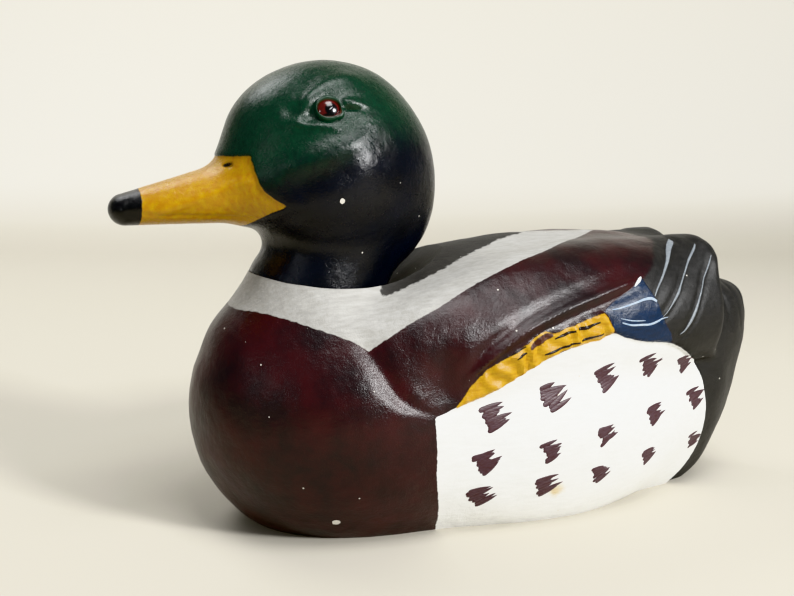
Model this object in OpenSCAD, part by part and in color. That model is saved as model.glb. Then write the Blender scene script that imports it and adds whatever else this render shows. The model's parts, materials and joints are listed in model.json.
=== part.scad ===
// Floating duck decoy: a mallard drake carved in wood, hollowed from below and
// closed with an inset bottom board. The head turns on a dowel in the neck.
// The bill points to -Y, the tail to +Y, the duck's left side is +X, the floor is z = 0.

/* [Carved form] */
// Length from the bill tip to the tail tip
decoy_l = 200; // [190:1:210]
// Radius of the round seat where the head meets the body
seat_r = 20; // [19:0.5:20.5]
// How far the neck seat leans back from level, in degrees
seat_tilt = 12; // [8:0.5:14]
// Sections along the body
body_sections = 60; // [30:2:64]
// Points round each section of the body
body_points = 44; // [24:4:48]
// Sections from the bill tip to the nape
head_sections = 56; // [30:2:60]
// Points round each section of the head
head_points = 40; // [24:4:44]

/* [Hollow and bottom board] */
// Radius of the bit that bores the hollow
pocket_r = 15; // [13:0.5:15.5]
// Radius of the front pocket, under the neck
front_pocket_r = 13; // [12.5:0.5:13.5]
// Thickness of the bottom board
board_t = 10; // [9:0.5:12]
// Half the width of the bottom board
board_r = 18; // [17.5:0.5:18.5]
// Gap all round the bottom board
board_gap = 0.1; // [0.05:0.05:0.3]
// Length of the lead ballast
ballast_l = 46; // [30:1:48]
// Width of the lead ballast
ballast_w = 17; // [10:1:18]
// Height of the lead ballast
ballast_h = 7; // [4:0.5:10]

/* [Neck swivel] */
// Diameter of the neck dowel
dowel_d = 8; // [6:0.5:8.5]
// Running clearance round the dowel in the body
dowel_clear = 0.05; // [0.03:0.01:0.1]
// Gap between the head and the body at the neck seat
seat_gap = 0.2; // [0.15:0.05:0.3]
// Diameter of the leather washer in the neck seat
leather_d = 26; // [20:1:30]
// Thickness of the leather washer
leather_t = 1.2; // [0.8:0.1:1.6]
// Diameter of the brass washer under the dowel
washer_d = 11; // [10:0.5:11.5]

/* [Eyes] */
// Diameter of each glass eye
eye_d = 6; // [5:0.5:7]
// Width of the putty lid round each eye
lid_w = 0.9; // [0.6:0.1:1.2]

/* [Line tie] */
// Radius of the ring, to the middle of its wire
ring_r = 6.5; // [6:0.25:7]
// Diameter of the ring's wire
ring_wire_d = 1.8; // [1.4:0.1:2]
// Depth of the recess that holds the folded ring
recess_depth = 5.5; // [5.2:0.1:6]

/* [Hidden] */
$fn = 64;
// Every form below is set out for a decoy 200 long and scaled by k
k = decoy_l / 200;
seat = k * [0, -43, 67.5];
neck_axis = [0, sin(seat_tilt), cos(seat_tilt)];

// Depths along the neck axis, measured from the seat
bearing_depth = 22;
dowel_up = 24;
end_float = 0.2;

// Boring centres of the hollow along Y, and the height of each ceiling
pocket_y = [-41, -20, 2, 24];
pocket_top = [44.5, 56, 62, 62];
board_front_y = -41;
board_rear_y = 34;

// Bottom board screws: one at each end and a pair at each cusp between two pockets
board_screws_at = [[0, -56.4], [0, 45],
    for (s = [-1, 1], at = [[13.7, -31.8], [14, -9], [14, 13]]) [s * at.x, at.y]];
board_screw_l = 16;
ballast_y = 8;
ballast_screws_at = [[0, ballast_y - 15], [0, ballast_y + 15]];

// The ring hangs in a staple whose plate is screwed to the recess ceiling
tie_y = -46.5;
ring_z = 3.2;
ring_wire_r = ring_wire_d / 2;
staple_r = 2;
staple_wire_r = 0.7;
plate_t = 1;
tie_screw_x = 5.5;
tie_screw_l = 4.5;
recess_w = 18;

// Eyes: middle of each lens's front face, and the way it looks
eye_at = k * [20.8, -45.5, 116.3];
eye_up = 22;
eye_forward = 9;
eye_depth = 3;
dome_h = 1.4;
lid_depth = 1;
lid_proud = 0.75;

brown = [0.28, 0.12, 0.10];
green = [0.05, 0.22, 0.12];
wood = [0.78, 0.62, 0.42];
brass = [0.80, 0.62, 0.28];
lead = [0.42, 0.43, 0.46];

// ---- rounded forms, as distances that are negative inside ----

// Union of two forms with a fillet about r wide, and their intersection
function blend(a, b, r) = min(a, b) - pow(max(r - abs(a - b), 0), 2) / (4 * r);
function trim(a, b, r) = -blend(-a, -b, r);

// An egg with centre c and half axes r, its nose tipped down by tilt degrees
function egg(p, c, r, tilt = 0) =
    let (q = p - c)
    let (y = q.y * cos(tilt) + q.z * sin(tilt), z = q.z * cos(tilt) - q.y * sin(tilt))
    let (u = [q.x / r.x, y / r.y, z / r.z])
    let (d = norm(u), g = norm([u.x / r.x, u.y / r.y, u.z / r.z]))
    g < 1e-6 ? -min(r) : d * (d - 1) / g;

// A pair of eggs, one each side, whose far ends lean in by toe as y grows
function egg_pair(p, c, r, tilt = 0, toe = 0) =
    egg([abs(p.x) + toe * (p.y - c.y), p.y, p.z], c, r, tilt);

// A round bar from a to b, with radius ra at a and rb at b
function taper(p, a, b, ra, rb) =
    let (t = max(0, min(1, (p - a) * (b - a) / ((b - a) * (b - a)))))
    norm(p - a - t * (b - a)) - ra - t * (rb - ra);

// Height above the neck seat and distance from the neck axis
function seat_h(p) = (p - seat / k) * neck_axis;
function neck_dist(p) = norm(p - seat / k - seat_h(p) * neck_axis);

// The body: breast, belly, neck root, back, rump and tail, then the flanks and folded wings
function body_form(p) =
    let (breast = egg(p, [0, -37, 32], [38, 43, 40]))
    let (belly = egg(p, [0, 8, 32], [37, 68, 46]))
    let (root = taper(p, seat / k - 30 * neck_axis, seat / k, 25.5, seat_r - 0.2))
    let (rump = egg(p, [0, 57, 35], [26, 41, 43]))
    let (tail = trim(egg(p, [0, 77, 52], [18, 23, 22]), p.z - 62.5, 5))
    let (back = egg(p, [0, 30, 54], [22, 50, 25.5], 3))
    let (core = blend(blend(blend(breast, belly, 16), root, 9), back, 8))
    let (stern = blend(core, blend(rump, tail, 6), 9))
    let (flanks = egg_pair(p, [15, 20, 25], [24, 53, 31], 0, 0.07))
    let (folded = egg_pair(p, [14, 29, 54], [23, 79, 24.5], 4.5, 0.1))
    let (tips = egg_pair(p, [10.5, 68, 66], [14.5, 22, 13]))
    let (wings = trim(blend(folded, tips, 3), p.y - 75.5, 4.5))
    blend(blend(stern, flanks, 4), wings, 3);

// The head: skull, cheeks, nape, bill and a round neck that runs below the seat
function head_form(p) =
    let (skull = egg(p, [0, -40, 103], [24, 30, 27]))
    let (cheeks = egg_pair(p, [9, -42, 95], [16, 22, 15]))
    let (nape = egg(p, [0, -32.5, 92], [18, 23.5, 24]))
    let (bill = 1.1 * taper([0.66 * p.x, p.y, p.z], [0, -60, 95], [0, -96, 90], 9.5, 4.3))
    let (neck = max(neck_dist(p) - seat_r + 0.12 * seat_h(p), seat_h(p) - 20, -6 - seat_h(p)))
    blend(blend(blend(blend(skull, nape, 6), cheeks, 6), bill, 7), neck, 5);

// Distance from point o along direction d to the skin of a form, by halving lo to hi
function reach(form, o, d, lo, hi, n) =
    let (mid = (lo + hi) / 2)
    n == 0 ? mid
        : form(o + mid * d) < 0 ? reach(form, o, d, mid, hi, n - 1)
        : reach(form, o, d, lo, mid, n - 1);

// Triangles and quads over rings of points, with a first and a last point as poles
function skin_faces(rings, around) =
    let (last = rings * around + 1)
    [for (j = [0 : around - 1]) [0, 1 + (j + 1) % around, 1 + j],
     for (i = [0 : rings - 2], j = [0 : around - 1])
        let (a = 1 + i * around, b = a + around, n = (j + 1) % around)
        each [[a + j, a + n, b + j], [a + n, b + n, b + j]],
     for (j = [0 : around - 1])
        let (a = 1 + (rings - 1) * around)
        [last, a + j, a + (j + 1) % around]];

// Rays fan out from a keel line inside the body, so both ends close to a point
module body_skin() {
    form = function (p) body_form(p);
    origin = function (angle) [0, 10 - 55 * cos(angle), 38 - 2 * cos(angle)];
    ray = function (angle, turn)
        [sin(angle) * cos(turn), -cos(angle), sin(angle) * sin(turn)];
    hit = function (angle, turn)
        let (o = origin(angle), d = ray(angle, turn)) o + reach(form, o, d, 5, 80, 12) * d;
    angles = [for (i = [1 : body_sections - 1]) 180 * i / body_sections];
    turns = [for (j = [0 : body_points - 1]) 360 * j / body_points];
    points = [hit(0, 0), for (a = angles, t = turns) hit(a, t), hit(180, 0)];
    polyhedron(k * points, skin_faces(body_sections - 1, body_points), convexity = 6);
}

// Rays fan out from the middle of the head, closer together over the slender bill
module head_skin() {
    form = function (p) head_form(p);
    middle = [0, -46, 96];
    droop = 5;
    spread = function (u) u < 0.5 ? 56 * u : 28 + 152 * pow(2 * u - 1, 1.15);
    ray = function (angle, turn)
        let (side = sin(angle) * cos(turn), up = sin(angle) * sin(turn), out = cos(angle))
        [side, -out * cos(droop) - up * sin(droop), up * cos(droop) - out * sin(droop)];
    hit = function (angle, turn)
        let (d = ray(angle, turn)) middle + reach(form, middle, d, 5, 70, 12) * d;
    angles = [for (i = [1 : head_sections - 1]) spread(i / head_sections)];
    turns = [for (j = [0 : head_points - 1]) 360 * j / head_points];
    points = [hit(0, 0), for (a = angles, t = turns) hit(a, t), hit(180, 0)];
    polyhedron(k * points, skin_faces(head_sections - 1, head_points), convexity = 6);
}

// ---- placing and fastening ----

module on_neck_axis() {
    translate(seat) rotate([-seat_tilt, 0, 0]) children();
}

module at_eye(side) {
    mirror([side < 0 ? 1 : 0, 0, 0])
        translate(eye_at) rotate([0, 0, -eye_forward]) rotate([0, 90 - eye_up, 0]) children();
}

// A bar with round ends along Y, drawn flat
module slot_outline(y1, y2, r) {
    translate([-r, y1]) square([2 * r, y2 - y1]);
    for (y = [y1, y2]) translate([0, y]) circle(r);
}

// A slotted countersunk screw: its head is flush with z = 0 and its shank points up
module screw(shank_r, head_r, length) {
    difference() {
        union() {
            cylinder(r1 = head_r, r2 = shank_r, h = head_r - shank_r);
            translate([0, 0, head_r - shank_r])
                cylinder(r = shank_r, h = length - head_r + shank_r);
        }
        translate([-head_r, -0.25, -1]) cube([2 * head_r, 0.5, 1.5]);
    }
}

// The hole that such a screw fills, with its mouth open below z = 0
module screw_hole(shank_r, head_r, length) {
    cylinder(r1 = head_r, r2 = shank_r, h = head_r - shank_r);
    translate([0, 0, -1]) cylinder(r = head_r, h = 1);
    cylinder(r = shank_r, h = length + 0.2);
}

// ---- body ----

module body_block() {
    color(brown) difference() {
        body_skin();
        translate([-100, -150, -100]) cube([200, 300, 100]);
        // bed for the bottom board
        translate([0, 0, -1]) linear_extrude(board_t + 1)
            slot_outline(board_front_y, board_rear_y, board_r);
        // the hollow, bored from below
        for (i = [0 : len(pocket_y) - 1])
            translate([0, pocket_y[i], board_t - 1])
                cylinder(r = i == 0 ? front_pocket_r : pocket_r, h = pocket_top[i] - board_t + 1);
        for (at = board_screws_at)
            translate([at.x, at.y, board_t - 1])
                cylinder(r = 0.9, h = board_screw_l - board_t + 1.2, $fn = 24);
        on_neck_axis() {
            // neck seat, opened out so that the turning nape clears the back
            cylinder(r1 = seat_r + 0.4, r2 = seat_r + 24.4, h = 30);
            // bed for the leather washer, dowel bearing and face for the brass washer
            translate([0, 0, seat_gap - leather_t]) cylinder(d = leather_d + 0.2, h = 3);
            translate([0, 0, -bearing_depth - 1])
                cylinder(r = dowel_d / 2 + dowel_clear, h = bearing_depth + 2);
            translate([0, 0, -bearing_depth - 9]) cylinder(d = washer_d + 1.4, h = 9);
        }
    }
}

module bottom_board() {
    color(wood) difference() {
        linear_extrude(board_t)
            slot_outline(board_front_y, board_rear_y, board_r - board_gap);
        for (at = board_screws_at)
            translate([at.x, at.y, 0]) screw_hole(0.9, 2, board_screw_l, $fn = 24);
        for (at = ballast_screws_at)
            translate([at.x, at.y, board_t - 6]) cylinder(r = 1, h = 7, $fn = 24);
        translate([0, 0, -1]) linear_extrude(recess_depth + 1)
            slot_outline(tie_y + 3, tie_y + 2 * ring_r - 6.5, recess_w / 2);
        for (x = [-tie_screw_x, tie_screw_x])
            translate([x, tie_y, recess_depth - 1])
                cylinder(r = 0.7, h = tie_screw_l - plate_t + 1.1, $fn = 24);
    }
}

module board_screws() {
    color(brass) for (at = board_screws_at)
        translate([at.x, at.y, 0]) screw(0.9, 2, board_screw_l, $fn = 24);
}

// A cast lead bar with round ends, screwed down on the board inside the hollow
module ballast_weight() {
    color(lead) difference() {
        translate([0, ballast_y, board_t]) linear_extrude(ballast_h)
            slot_outline((ballast_w - ballast_l) / 2, (ballast_l - ballast_w) / 2, ballast_w / 2);
        for (at = ballast_screws_at)
            translate([at.x, at.y, board_t + ballast_h]) mirror([0, 0, 1])
                screw_hole(1, 2.2, ballast_h + 1, $fn = 24);
    }
}

module ballast_screws() {
    color(brass) for (at = ballast_screws_at)
        translate([at.x, at.y, board_t + ballast_h]) mirror([0, 0, 1])
            screw(1, 2.2, ballast_h + 5.8, $fn = 24);
}

// ---- line tie ----

// A plate against the recess ceiling with a staple that the ring hangs in
module line_tie() {
    color(brass) {
        difference() {
            translate([0, tie_y, recess_depth - plate_t]) linear_extrude(plate_t)
                rotate(90) slot_outline(-tie_screw_x, tie_screw_x, 2.6);
            for (x = [-tie_screw_x, tie_screw_x])
                translate([x, tie_y, recess_depth - plate_t]) screw_hole(0.7, 1.4, 3, $fn = 24);
        }
        for (y = [-staple_r, staple_r])
            translate([0, tie_y + y, ring_z])
                cylinder(r = staple_wire_r, h = recess_depth - plate_t / 2 - ring_z, $fn = 24);
        translate([0, tie_y, ring_z]) rotate([0, 90, 0]) rotate([0, 0, -90])
            rotate_extrude(angle = 180, $fn = 48)
                translate([staple_r, 0]) circle(staple_wire_r, $fn = 24);
    }
}

module tie_screws() {
    color(brass) for (x = [-tie_screw_x, tie_screw_x])
        translate([x, tie_y, recess_depth - plate_t]) screw(0.7, 1.4, tie_screw_l, $fn = 24);
}

// Folded flat in its recess, the ring points aft
module line_ring() {
    color(brass) translate([0, tie_y + ring_r, ring_z])
        rotate_extrude() translate([ring_r, 0]) circle(ring_wire_r, $fn = 24);
}

// ---- head and neck ----

module head_block() {
    color(green) difference() {
        head_skin();
        on_neck_axis() {
            translate([-60, -60, seat_gap - 40]) cube([120, 120, 40]);
            cylinder(d = dowel_d, h = dowel_up + 0.3);
        }
        for (side = [-1, 1])
            at_eye(side) {
                translate([0, 0, -eye_depth]) cylinder(d = eye_d, h = eye_depth + 6, $fn = 48);
                translate([0, 0, -lid_depth])
                    cylinder(r = eye_d / 2 + lid_w, h = lid_depth + 6, $fn = 48);
            }
    }
}

// A glass lens: a short round body with a domed front
module eye(side) {
    dome_r = (pow(eye_d / 2, 2) + dome_h * dome_h) / (2 * dome_h);
    at_eye(side) intersection() {
        translate([0, 0, -eye_depth]) cylinder(d = eye_d, h = eye_depth + dome_h, $fn = 48);
        translate([0, 0, dome_h - dome_r]) sphere(dome_r);
    }
}

module left_eye() {
    color("firebrick") eye(1);
}

module right_eye() {
    color("firebrick") eye(-1);
}

// A bead of putty that closes the socket round the lens
module eyelid(side) {
    at_eye(side) rotate_extrude($fn = 48) translate([eye_d / 2, -lid_depth]) {
        square([lid_w, lid_depth + lid_proud - lid_w / 2]);
        translate([lid_w / 2, lid_depth + lid_proud - lid_w / 2]) circle(lid_w / 2, $fn = 24);
    }
}

module left_eyelid() {
    color("darkslategray") eyelid(1);
}

module right_eyelid() {
    color("darkslategray") eyelid(-1);
}

module neck_dowel() {
    color(wood) on_neck_axis() difference() {
        translate([0, 0, -bearing_depth - end_float])
            cylinder(d = dowel_d, h = bearing_depth + end_float + dowel_up);
        translate([0, 0, -bearing_depth - end_float - 1]) cylinder(r = 1.2, h = 13, $fn = 24);
    }
}

module seat_washer() {
    color("peru") on_neck_axis() difference() {
        translate([0, 0, seat_gap - leather_t]) cylinder(d = leather_d, h = leather_t);
        translate([0, 0, seat_gap - leather_t - 1]) cylinder(d = dowel_d + 0.6, h = leather_t + 2);
    }
}

module retaining_washer() {
    color(brass) on_neck_axis() difference() {
        translate([0, 0, -bearing_depth - end_float - plate_t]) cylinder(d = washer_d, h = plate_t);
        translate([0, 0, -bearing_depth - end_float - plate_t - 1])
            cylinder(r = 1.3, h = plate_t + 2, $fn = 24);
    }
}

// A slotted round-head screw up into the end of the dowel
module retaining_screw() {
    head_r = 2.7;
    color(brass) on_neck_axis() translate([0, 0, -bearing_depth - end_float - plate_t])
        difference() {
            union() {
                cylinder(r = 1.2, h = 12, $fn = 24);
                intersection() {
                    translate([0, 0, 0.9]) sphere(head_r, $fn = 32);
                    translate([0, 0, -2]) cylinder(r = head_r, h = 2, $fn = 32);
                }
            }
            translate([-head_r, -0.3, -3]) cube([2 * head_r, 0.6, 1.9]);
        }
}

body_block();
bottom_board();
board_screws();
ballast_weight();
ballast_screws();
line_tie();
tie_screws();
line_ring();
seat_washer();
head_block();
left_eye();
right_eye();
left_eyelid();
right_eyelid();
neck_dowel();
retaining_washer();
retaining_screw();
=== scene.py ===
"""Floating duck decoy: the finished look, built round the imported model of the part.

The carved blocks are skinned again at a fine step from the same rounded forms as the
part's own solids, then relieved, painted and weathered. Lengths inside the carving
functions are millimetres; every finished mesh is in metres.
"""
import json
import math

import bpy
import bmesh
import numpy as np
import openvdb
from mathutils import Matrix, Vector, noise


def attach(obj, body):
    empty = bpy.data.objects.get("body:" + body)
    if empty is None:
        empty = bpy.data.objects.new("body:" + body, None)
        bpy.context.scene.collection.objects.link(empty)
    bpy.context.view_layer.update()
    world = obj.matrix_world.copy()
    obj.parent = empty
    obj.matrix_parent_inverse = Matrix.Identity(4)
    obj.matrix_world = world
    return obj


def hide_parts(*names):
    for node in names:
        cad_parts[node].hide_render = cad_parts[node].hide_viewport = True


bl_info = {
    "name": "Floating Duck Decoy",
    "version": (1, 0, 0),
    "blender": (4, 5, 0),
    "location": "3D View > Sidebar > Decoy",
    "description": "Carved and painted drake decoy with a turning head and a folding line ring",
    "category": "Add Mesh",
}

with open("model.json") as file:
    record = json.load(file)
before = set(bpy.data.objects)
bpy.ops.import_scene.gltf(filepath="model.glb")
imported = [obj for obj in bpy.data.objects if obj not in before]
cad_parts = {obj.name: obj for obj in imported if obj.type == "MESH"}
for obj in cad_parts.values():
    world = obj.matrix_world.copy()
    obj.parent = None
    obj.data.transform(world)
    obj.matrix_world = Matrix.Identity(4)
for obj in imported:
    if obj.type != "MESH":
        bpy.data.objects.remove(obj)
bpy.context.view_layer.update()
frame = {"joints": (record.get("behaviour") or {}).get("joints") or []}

MM = 0.001
NECK = next(joint for joint in frame["joints"] if joint["name"] == "neck_swivel")
SEAT = np.array(NECK["pos_m"]) / MM
NECK_AXIS = np.array(NECK["axis"]) / np.linalg.norm(NECK["axis"])
NECK_TILT = math.degrees(math.asin(NECK_AXIS[1]))
SEAT_R = 20.0
SEAT_GAP = 0.2
BEARING_DEPTH = 22.0
BOARD_T = 10.0
EYE_AT = (20.8, -45.5, 116.3)
# Eyes: degrees that they look up and forward, radius and height of the lens's dome
EYE_UP = 22
EYE_FORWARD = 9
EYE_R = 3.0
DOME = 1.0


# ---- rounded forms: distances in millimetres, negative inside ----

def blend(a, b, r):
    """Union of two forms with a fillet about r wide."""
    return np.minimum(a, b) - np.maximum(r - np.abs(a - b), 0) ** 2 / (4 * r)


def trim(a, b, r):
    """Intersection of two forms with an edge rounded by about r."""
    return -blend(-a, -b, r)


def egg(p, centre, half, tilt=0.0):
    """An egg about a centre with three half axes, its nose tipped down by tilt degrees."""
    x, y, z = (v - c for v, c in zip(p, centre))
    c, s = math.cos(math.radians(tilt)), math.sin(math.radians(tilt))
    u = x / half[0], (y * c + z * s) / half[1], (z * c - y * s) / half[2]
    d = np.sqrt(u[0] ** 2 + u[1] ** 2 + u[2] ** 2)
    g = np.sqrt(sum((v / h) ** 2 for v, h in zip(u, half)))
    return d * (d - 1) / np.maximum(g, 1e-6)


def egg_pair(p, centre, half, tilt=0.0, toe=0.0):
    """An egg each side of the middle, whose far ends lean in by toe as y grows."""
    return egg((np.abs(p[0]) + toe * (p[1] - centre[1]), p[1], p[2]), centre, half, tilt)


def taper(p, a, b, ra, rb):
    """A round bar from a to b with radius ra at a and rb at b."""
    a, along = np.asarray(a, float), np.subtract(b, a)
    t = np.clip(sum((v - o) * d for v, o, d in zip(p, a, along)) / (along @ along), 0, 1)
    gap = np.sqrt(sum((v - o - t * d) ** 2 for v, o, d in zip(p, a, along)))
    return gap - ra - t * (rb - ra)


def neck_frame(p):
    """Height above the neck seat and distance from the neck axis."""
    q = [v - o for v, o in zip(p, SEAT)]
    height = sum(v * a for v, a in zip(q, NECK_AXIS))
    return height, np.sqrt(sum((v - height * a) ** 2 for v, a in zip(q, NECK_AXIS)))


def body_form(p):
    """Breast, belly, neck root, back, rump and tail, then the flanks and folded wings."""
    core = blend(egg(p, (0, -37, 32), (38, 43, 40)), egg(p, (0, 8, 32), (37, 68, 46)), 16)
    core = blend(core, taper(p, SEAT - 30 * NECK_AXIS, SEAT, 25.5, SEAT_R - 0.2), 9)
    core = blend(core, egg(p, (0, 30, 54), (22, 50, 25.5), 3), 8)
    rump = egg(p, (0, 57, 35), (26, 41, 43))
    tail = trim(egg(p, (0, 77, 52), (18, 23, 22)), p[2] - 62.5, 5)
    stern = blend(core, blend(rump, tail, 6), 9)
    flanks = egg_pair(p, (15, 20, 25), (24, 53, 31), 0, 0.07)
    folded = egg_pair(p, (14, 29, 54), (23, 79, 24.5), 4.5, 0.1)
    tips = egg_pair(p, (10.5, 68, 66), (14.5, 22, 13))
    wings = trim(blend(folded, tips, 3), p[1] - 75.3, 3)
    return blend(blend(stern, flanks, 4), wings, 3)


def head_form(p):
    """Skull, cheeks, nape and bill on a round neck that runs down past the seat."""
    skull = egg(p, (0, -40, 103), (24, 30, 27))
    cheeks = egg_pair(p, (9, -42, 95), (16, 22, 15))
    nape = egg(p, (0, -32.5, 92), (18, 23.5, 24))
    bill = 1.1 * taper((0.66 * p[0], p[1], p[2]), (0, -60, 95), (0, -96, 90), 9.5, 4.3)
    height, radius = neck_frame(p)
    neck = np.maximum(np.maximum(radius - SEAT_R + 0.12 * height, height - 20), -6 - height)
    return blend(blend(blend(blend(skull, nape, 6), cheeks, 6), bill, 7), neck, 5)


# ---- carved relief, in millimetres outwards along the skin ----

# Lower edge of the folded wing in side view, from its front corner to the wing tip
WING_EDGE = ((-26, 34.5), (-15, 38.3), (-4, 41.8), (11, 49.5), (21, 52.6), (31, 54.8),
             (41, 51.8), (53, 49.8), (60, 46.8), (67, 42.0))
# Ridge that runs along the wing above the yellow band
WING_RIDGE = ((-18, 40.5), (-8, 50.0), (3, 56.8), (15, 61.5), (30, 65.6), (42, 68.6))
# Rear edge of the flank feathers, from the floor up to the wing
FLANK_REAR = ((-2, 66.0), (6.5, 71.0), (13.5, 73.6), (22, 74.2), (30.5, 73.0), (38.8, 69.6),
              (44, 64.5), (47.5, 58.5))
# Rear edge of the bill's yellow, with its point at the corner of the mouth
BILL_EDGE = ((80, -69.0), (84, -66.4), (87, -63.4), (89.4, -60.4), (91.3, -57.3), (92.8, -59.6),
             (95, -62.2), (98, -63.8), (101.5, -64.6), (108, -64.8))
# Crest of the brow over the eye
BROW = ((-57, 109.5), (-53.5, 113.2), (-50.8, 117.0), (-47, 120.4), (-41, 122.9), (-34, 124.0))
# Valley between the breast and the shoulder of the wing
SHOULDER = ((36.5, -23.0), (38, -27.0), (41.5, -31.5), (48, -35.5), (54, -38.8))


def smooth(v, low, high):
    """0 below low, 1 above high, with a soft step between."""
    t = np.clip((v - low) / (high - low), 0, 1)
    return t * t * (3 - 2 * t)


def along(curve, v):
    """A drawn edge, eased between its points, as second coordinate against first."""
    v_knots, w_knots = np.array(curve, float).T
    slope = np.gradient(w_knots, v_knots)
    v = np.clip(v, v_knots[0], v_knots[-1])
    i = np.clip(np.searchsorted(v_knots, v) - 1, 0, len(v_knots) - 2)
    width = v_knots[i + 1] - v_knots[i]
    t = (v - v_knots[i]) / width
    return ((2 * t ** 3 - 3 * t ** 2 + 1) * w_knots[i]
            + (t ** 3 - 2 * t ** 2 + t) * width * slope[i]
            + (3 * t ** 2 - 2 * t ** 3) * w_knots[i + 1]
            + (t ** 3 - t ** 2) * width * slope[i + 1])


def bump(v, width):
    """A rounded bead that is 1 at v = 0 and fades out at about twice its width."""
    return np.exp(-(v / width) ** 2)


def body_relief(x, y, z):
    """The wing's edge and ridge, flank step, shoulder valley and feather grooves."""
    side = smooth(np.abs(x), 8, 14)
    above = z - along(WING_EDGE, y)
    on_wing = smooth(y, -20, -12) * smooth(-y, -78, -72)
    step = 1.1 * smooth(above, -0.5, 0.6) * smooth(-above, -26, -8) - 0.35 * bump(above + 1.0, 0.9)
    relief = side * on_wing * step
    ridge = z - along(WING_RIDGE, y)
    on_ridge = smooth(y, -16, -6) * smooth(-y, -44, -36)
    relief += side * on_ridge * (0.95 * bump(ridge, 1.15) - 0.5 * bump(ridge + 2.6, 1.3)
                                 - 0.45 * bump(ridge - 3.2, 2.0))
    thick = smooth(within(YELLOW, y, z), -0.3, 0.9)
    folds = np.sin(1.1 * y + 0.9 * z + 1.5 * np.sin(0.55 * y - 0.3 * z))
    relief += side * thick * (0.35 + 0.5 * folds * smooth(y, -12, -6))
    behind = y - along(FLANK_REAR, z)
    relief -= side * smooth(behind, -0.8, 0.8) * smooth(-z, -47, -43) * smooth(-behind, -12, -3)
    valley = y - along(SHOULDER, z)
    relief -= side * 1.0 * bump(valley, 3.2) * smooth(z, 35, 42) * smooth(-z, -60, -54)
    for stroke in FEATHERS:
        line = near([point[:2] for point in stroke], y, z)
        relief -= side * 0.4 * bump(line - 1.1, 0.8) * smooth(y, 44, 50)
    for start, lean in ((84, 0.0), (88, 0.12), (92, 0.24)):
        groove = y - start + 0.28 * (z - 55) - lean * np.abs(x)
        relief -= 0.3 * bump(groove, 0.8) * smooth(y, 79, 82) * smooth(z, 47, 51)
    # square corner of the wing tip, flat top before it, slimmer stern, fuller front collar
    relief += side * 1.5 * bump(np.hypot(y - 75, z - 74), 4.2)
    relief -= 0.8 * bump(y - 60, 10) * smooth(z, 70, 78)
    relief -= 1.6 * smooth(y, 78, 88) * smooth(-z, -45, -25)
    relief += 1.0 * bump(np.hypot(y + 72, z - 56), 6.5)
    return relief


def head_relief(x, y, z):
    """Eye channel, brow, cheek and jaw creases, nostrils, mouth line and bill edges."""
    side = smooth(np.abs(x), 6, 13)
    dy, dz = y + 44.9, z - 116.5
    away = np.hypot(dy, dz)
    brow = z - along(BROW, y)
    on_brow = side * smooth(y, -57, -50) * smooth(-y, 31, 40)
    relief = on_brow * (0.9 * bump(brow - 0.8, 2.3) - 0.2 * bump(brow + 3.6, 2.6))
    relief -= side * 0.2 * smooth(-away, -8.5, -3.0)
    relief -= side * 0.7 * bump(dz + 2.0 + 0.1 * dy, 2.2) * smooth(-dy, 2, 6) * smooth(dy, -14, -9)
    relief += side * 0.5 * bump(dz + 5.0 + 0.1 * dy, 1.0) * smooth(-dy, -5, 1) * smooth(dy, -12, -7)
    cheek = dz + 11.0 - 0.33 * dy
    relief += side * 0.9 * bump(cheek, 3.2) * smooth(dy, -19, -8) * smooth(-dy, -15, -4)
    relief -= side * 0.5 * bump(cheek + 6.0, 3.6) * smooth(dy, -19, -8) * smooth(-dy, -10, 2)
    relief += side * 0.7 * bump(np.hypot(y + 37, z - 102.5), 5.0)
    crease = dz + 0.08 * dy - 0.5
    relief -= side * 0.9 * bump(crease, 0.55) * smooth(dy, 3.2, 4.4) * smooth(-dy, -11, -6)
    relief += side * 0.6 * bump(crease - 1.7, 1.0) * smooth(dy, 3.2, 4.4) * smooth(-dy, -12, -6)
    jaw = z - 80.9 + 0.03 * (y + 45) - 0.012 * (y + 45) ** 2
    on_jaw = side * smooth(y, -62, -56) * smooth(-y, 30, 44)
    relief += on_jaw * (0.35 * bump(jaw - 2.6, 2.4) - 0.2 * bump(jaw + 1.6, 2.4))
    # lower nape, fuller forehead, deeper throat under the bill
    relief -= 1.2 * bump(np.hypot(y + 19, z - 117), 12.0)
    relief += 0.6 * bump(np.hypot(y + 61, z - 118), 9.0)
    relief -= 1.8 * bump(np.hypot(y + 60, z - 79.5), 5.0)
    base = -bill_inside(y, z)
    relief += 0.45 * smooth(base, -0.4, 0.5) * smooth(-base, -8, -1) * smooth(z, 84, 88)
    hole = np.sqrt(((y + 69.8) / 1.2) ** 2 + ((z - 101.6 - 0.3 * (y + 69.8)) / 0.62) ** 2)
    relief -= 0.7 * smooth(-hole, -1.15, -0.6) * smooth(np.abs(x), 5, 7)
    edge = z - 89.5 - 0.36 * (y + 88)
    relief += 0.7 * bump(edge, 1.5) * smooth(-y, 62, 67) * smooth(y, -93, -86)
    mouth = z - 88.4 + 0.05 * (y + 80)
    relief -= 0.22 * bump(mouth, 0.5) * smooth(-y, 61, 64) * smooth(y, -97.5, -95)
    return relief


def bill_inside(y, z):
    """How far inside the yellow of the bill a point lies."""
    return np.minimum(along(BILL_EDGE, z) - y, 104.1 + 0.04 * (y + 65) - z)


# ---- skins: a fine even mesh over a form ----

def slopes(form, p, d=0.05):
    """Outward direction of a form at points, by central differences."""
    g = np.empty_like(p)
    for axis in range(3):
        step = np.zeros(3)
        step[axis] = d
        g[:, axis] = form((p + step).T) - form((p - step).T)
    return g / (2 * d)


def settle(form, p, rounds=3):
    """Moves points onto the zero surface of a form."""
    for _ in range(rounds):
        g = slopes(form, p)
        p = p - (form(p.T) / (g ** 2).sum(1))[:, None] * g
    return p


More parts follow.
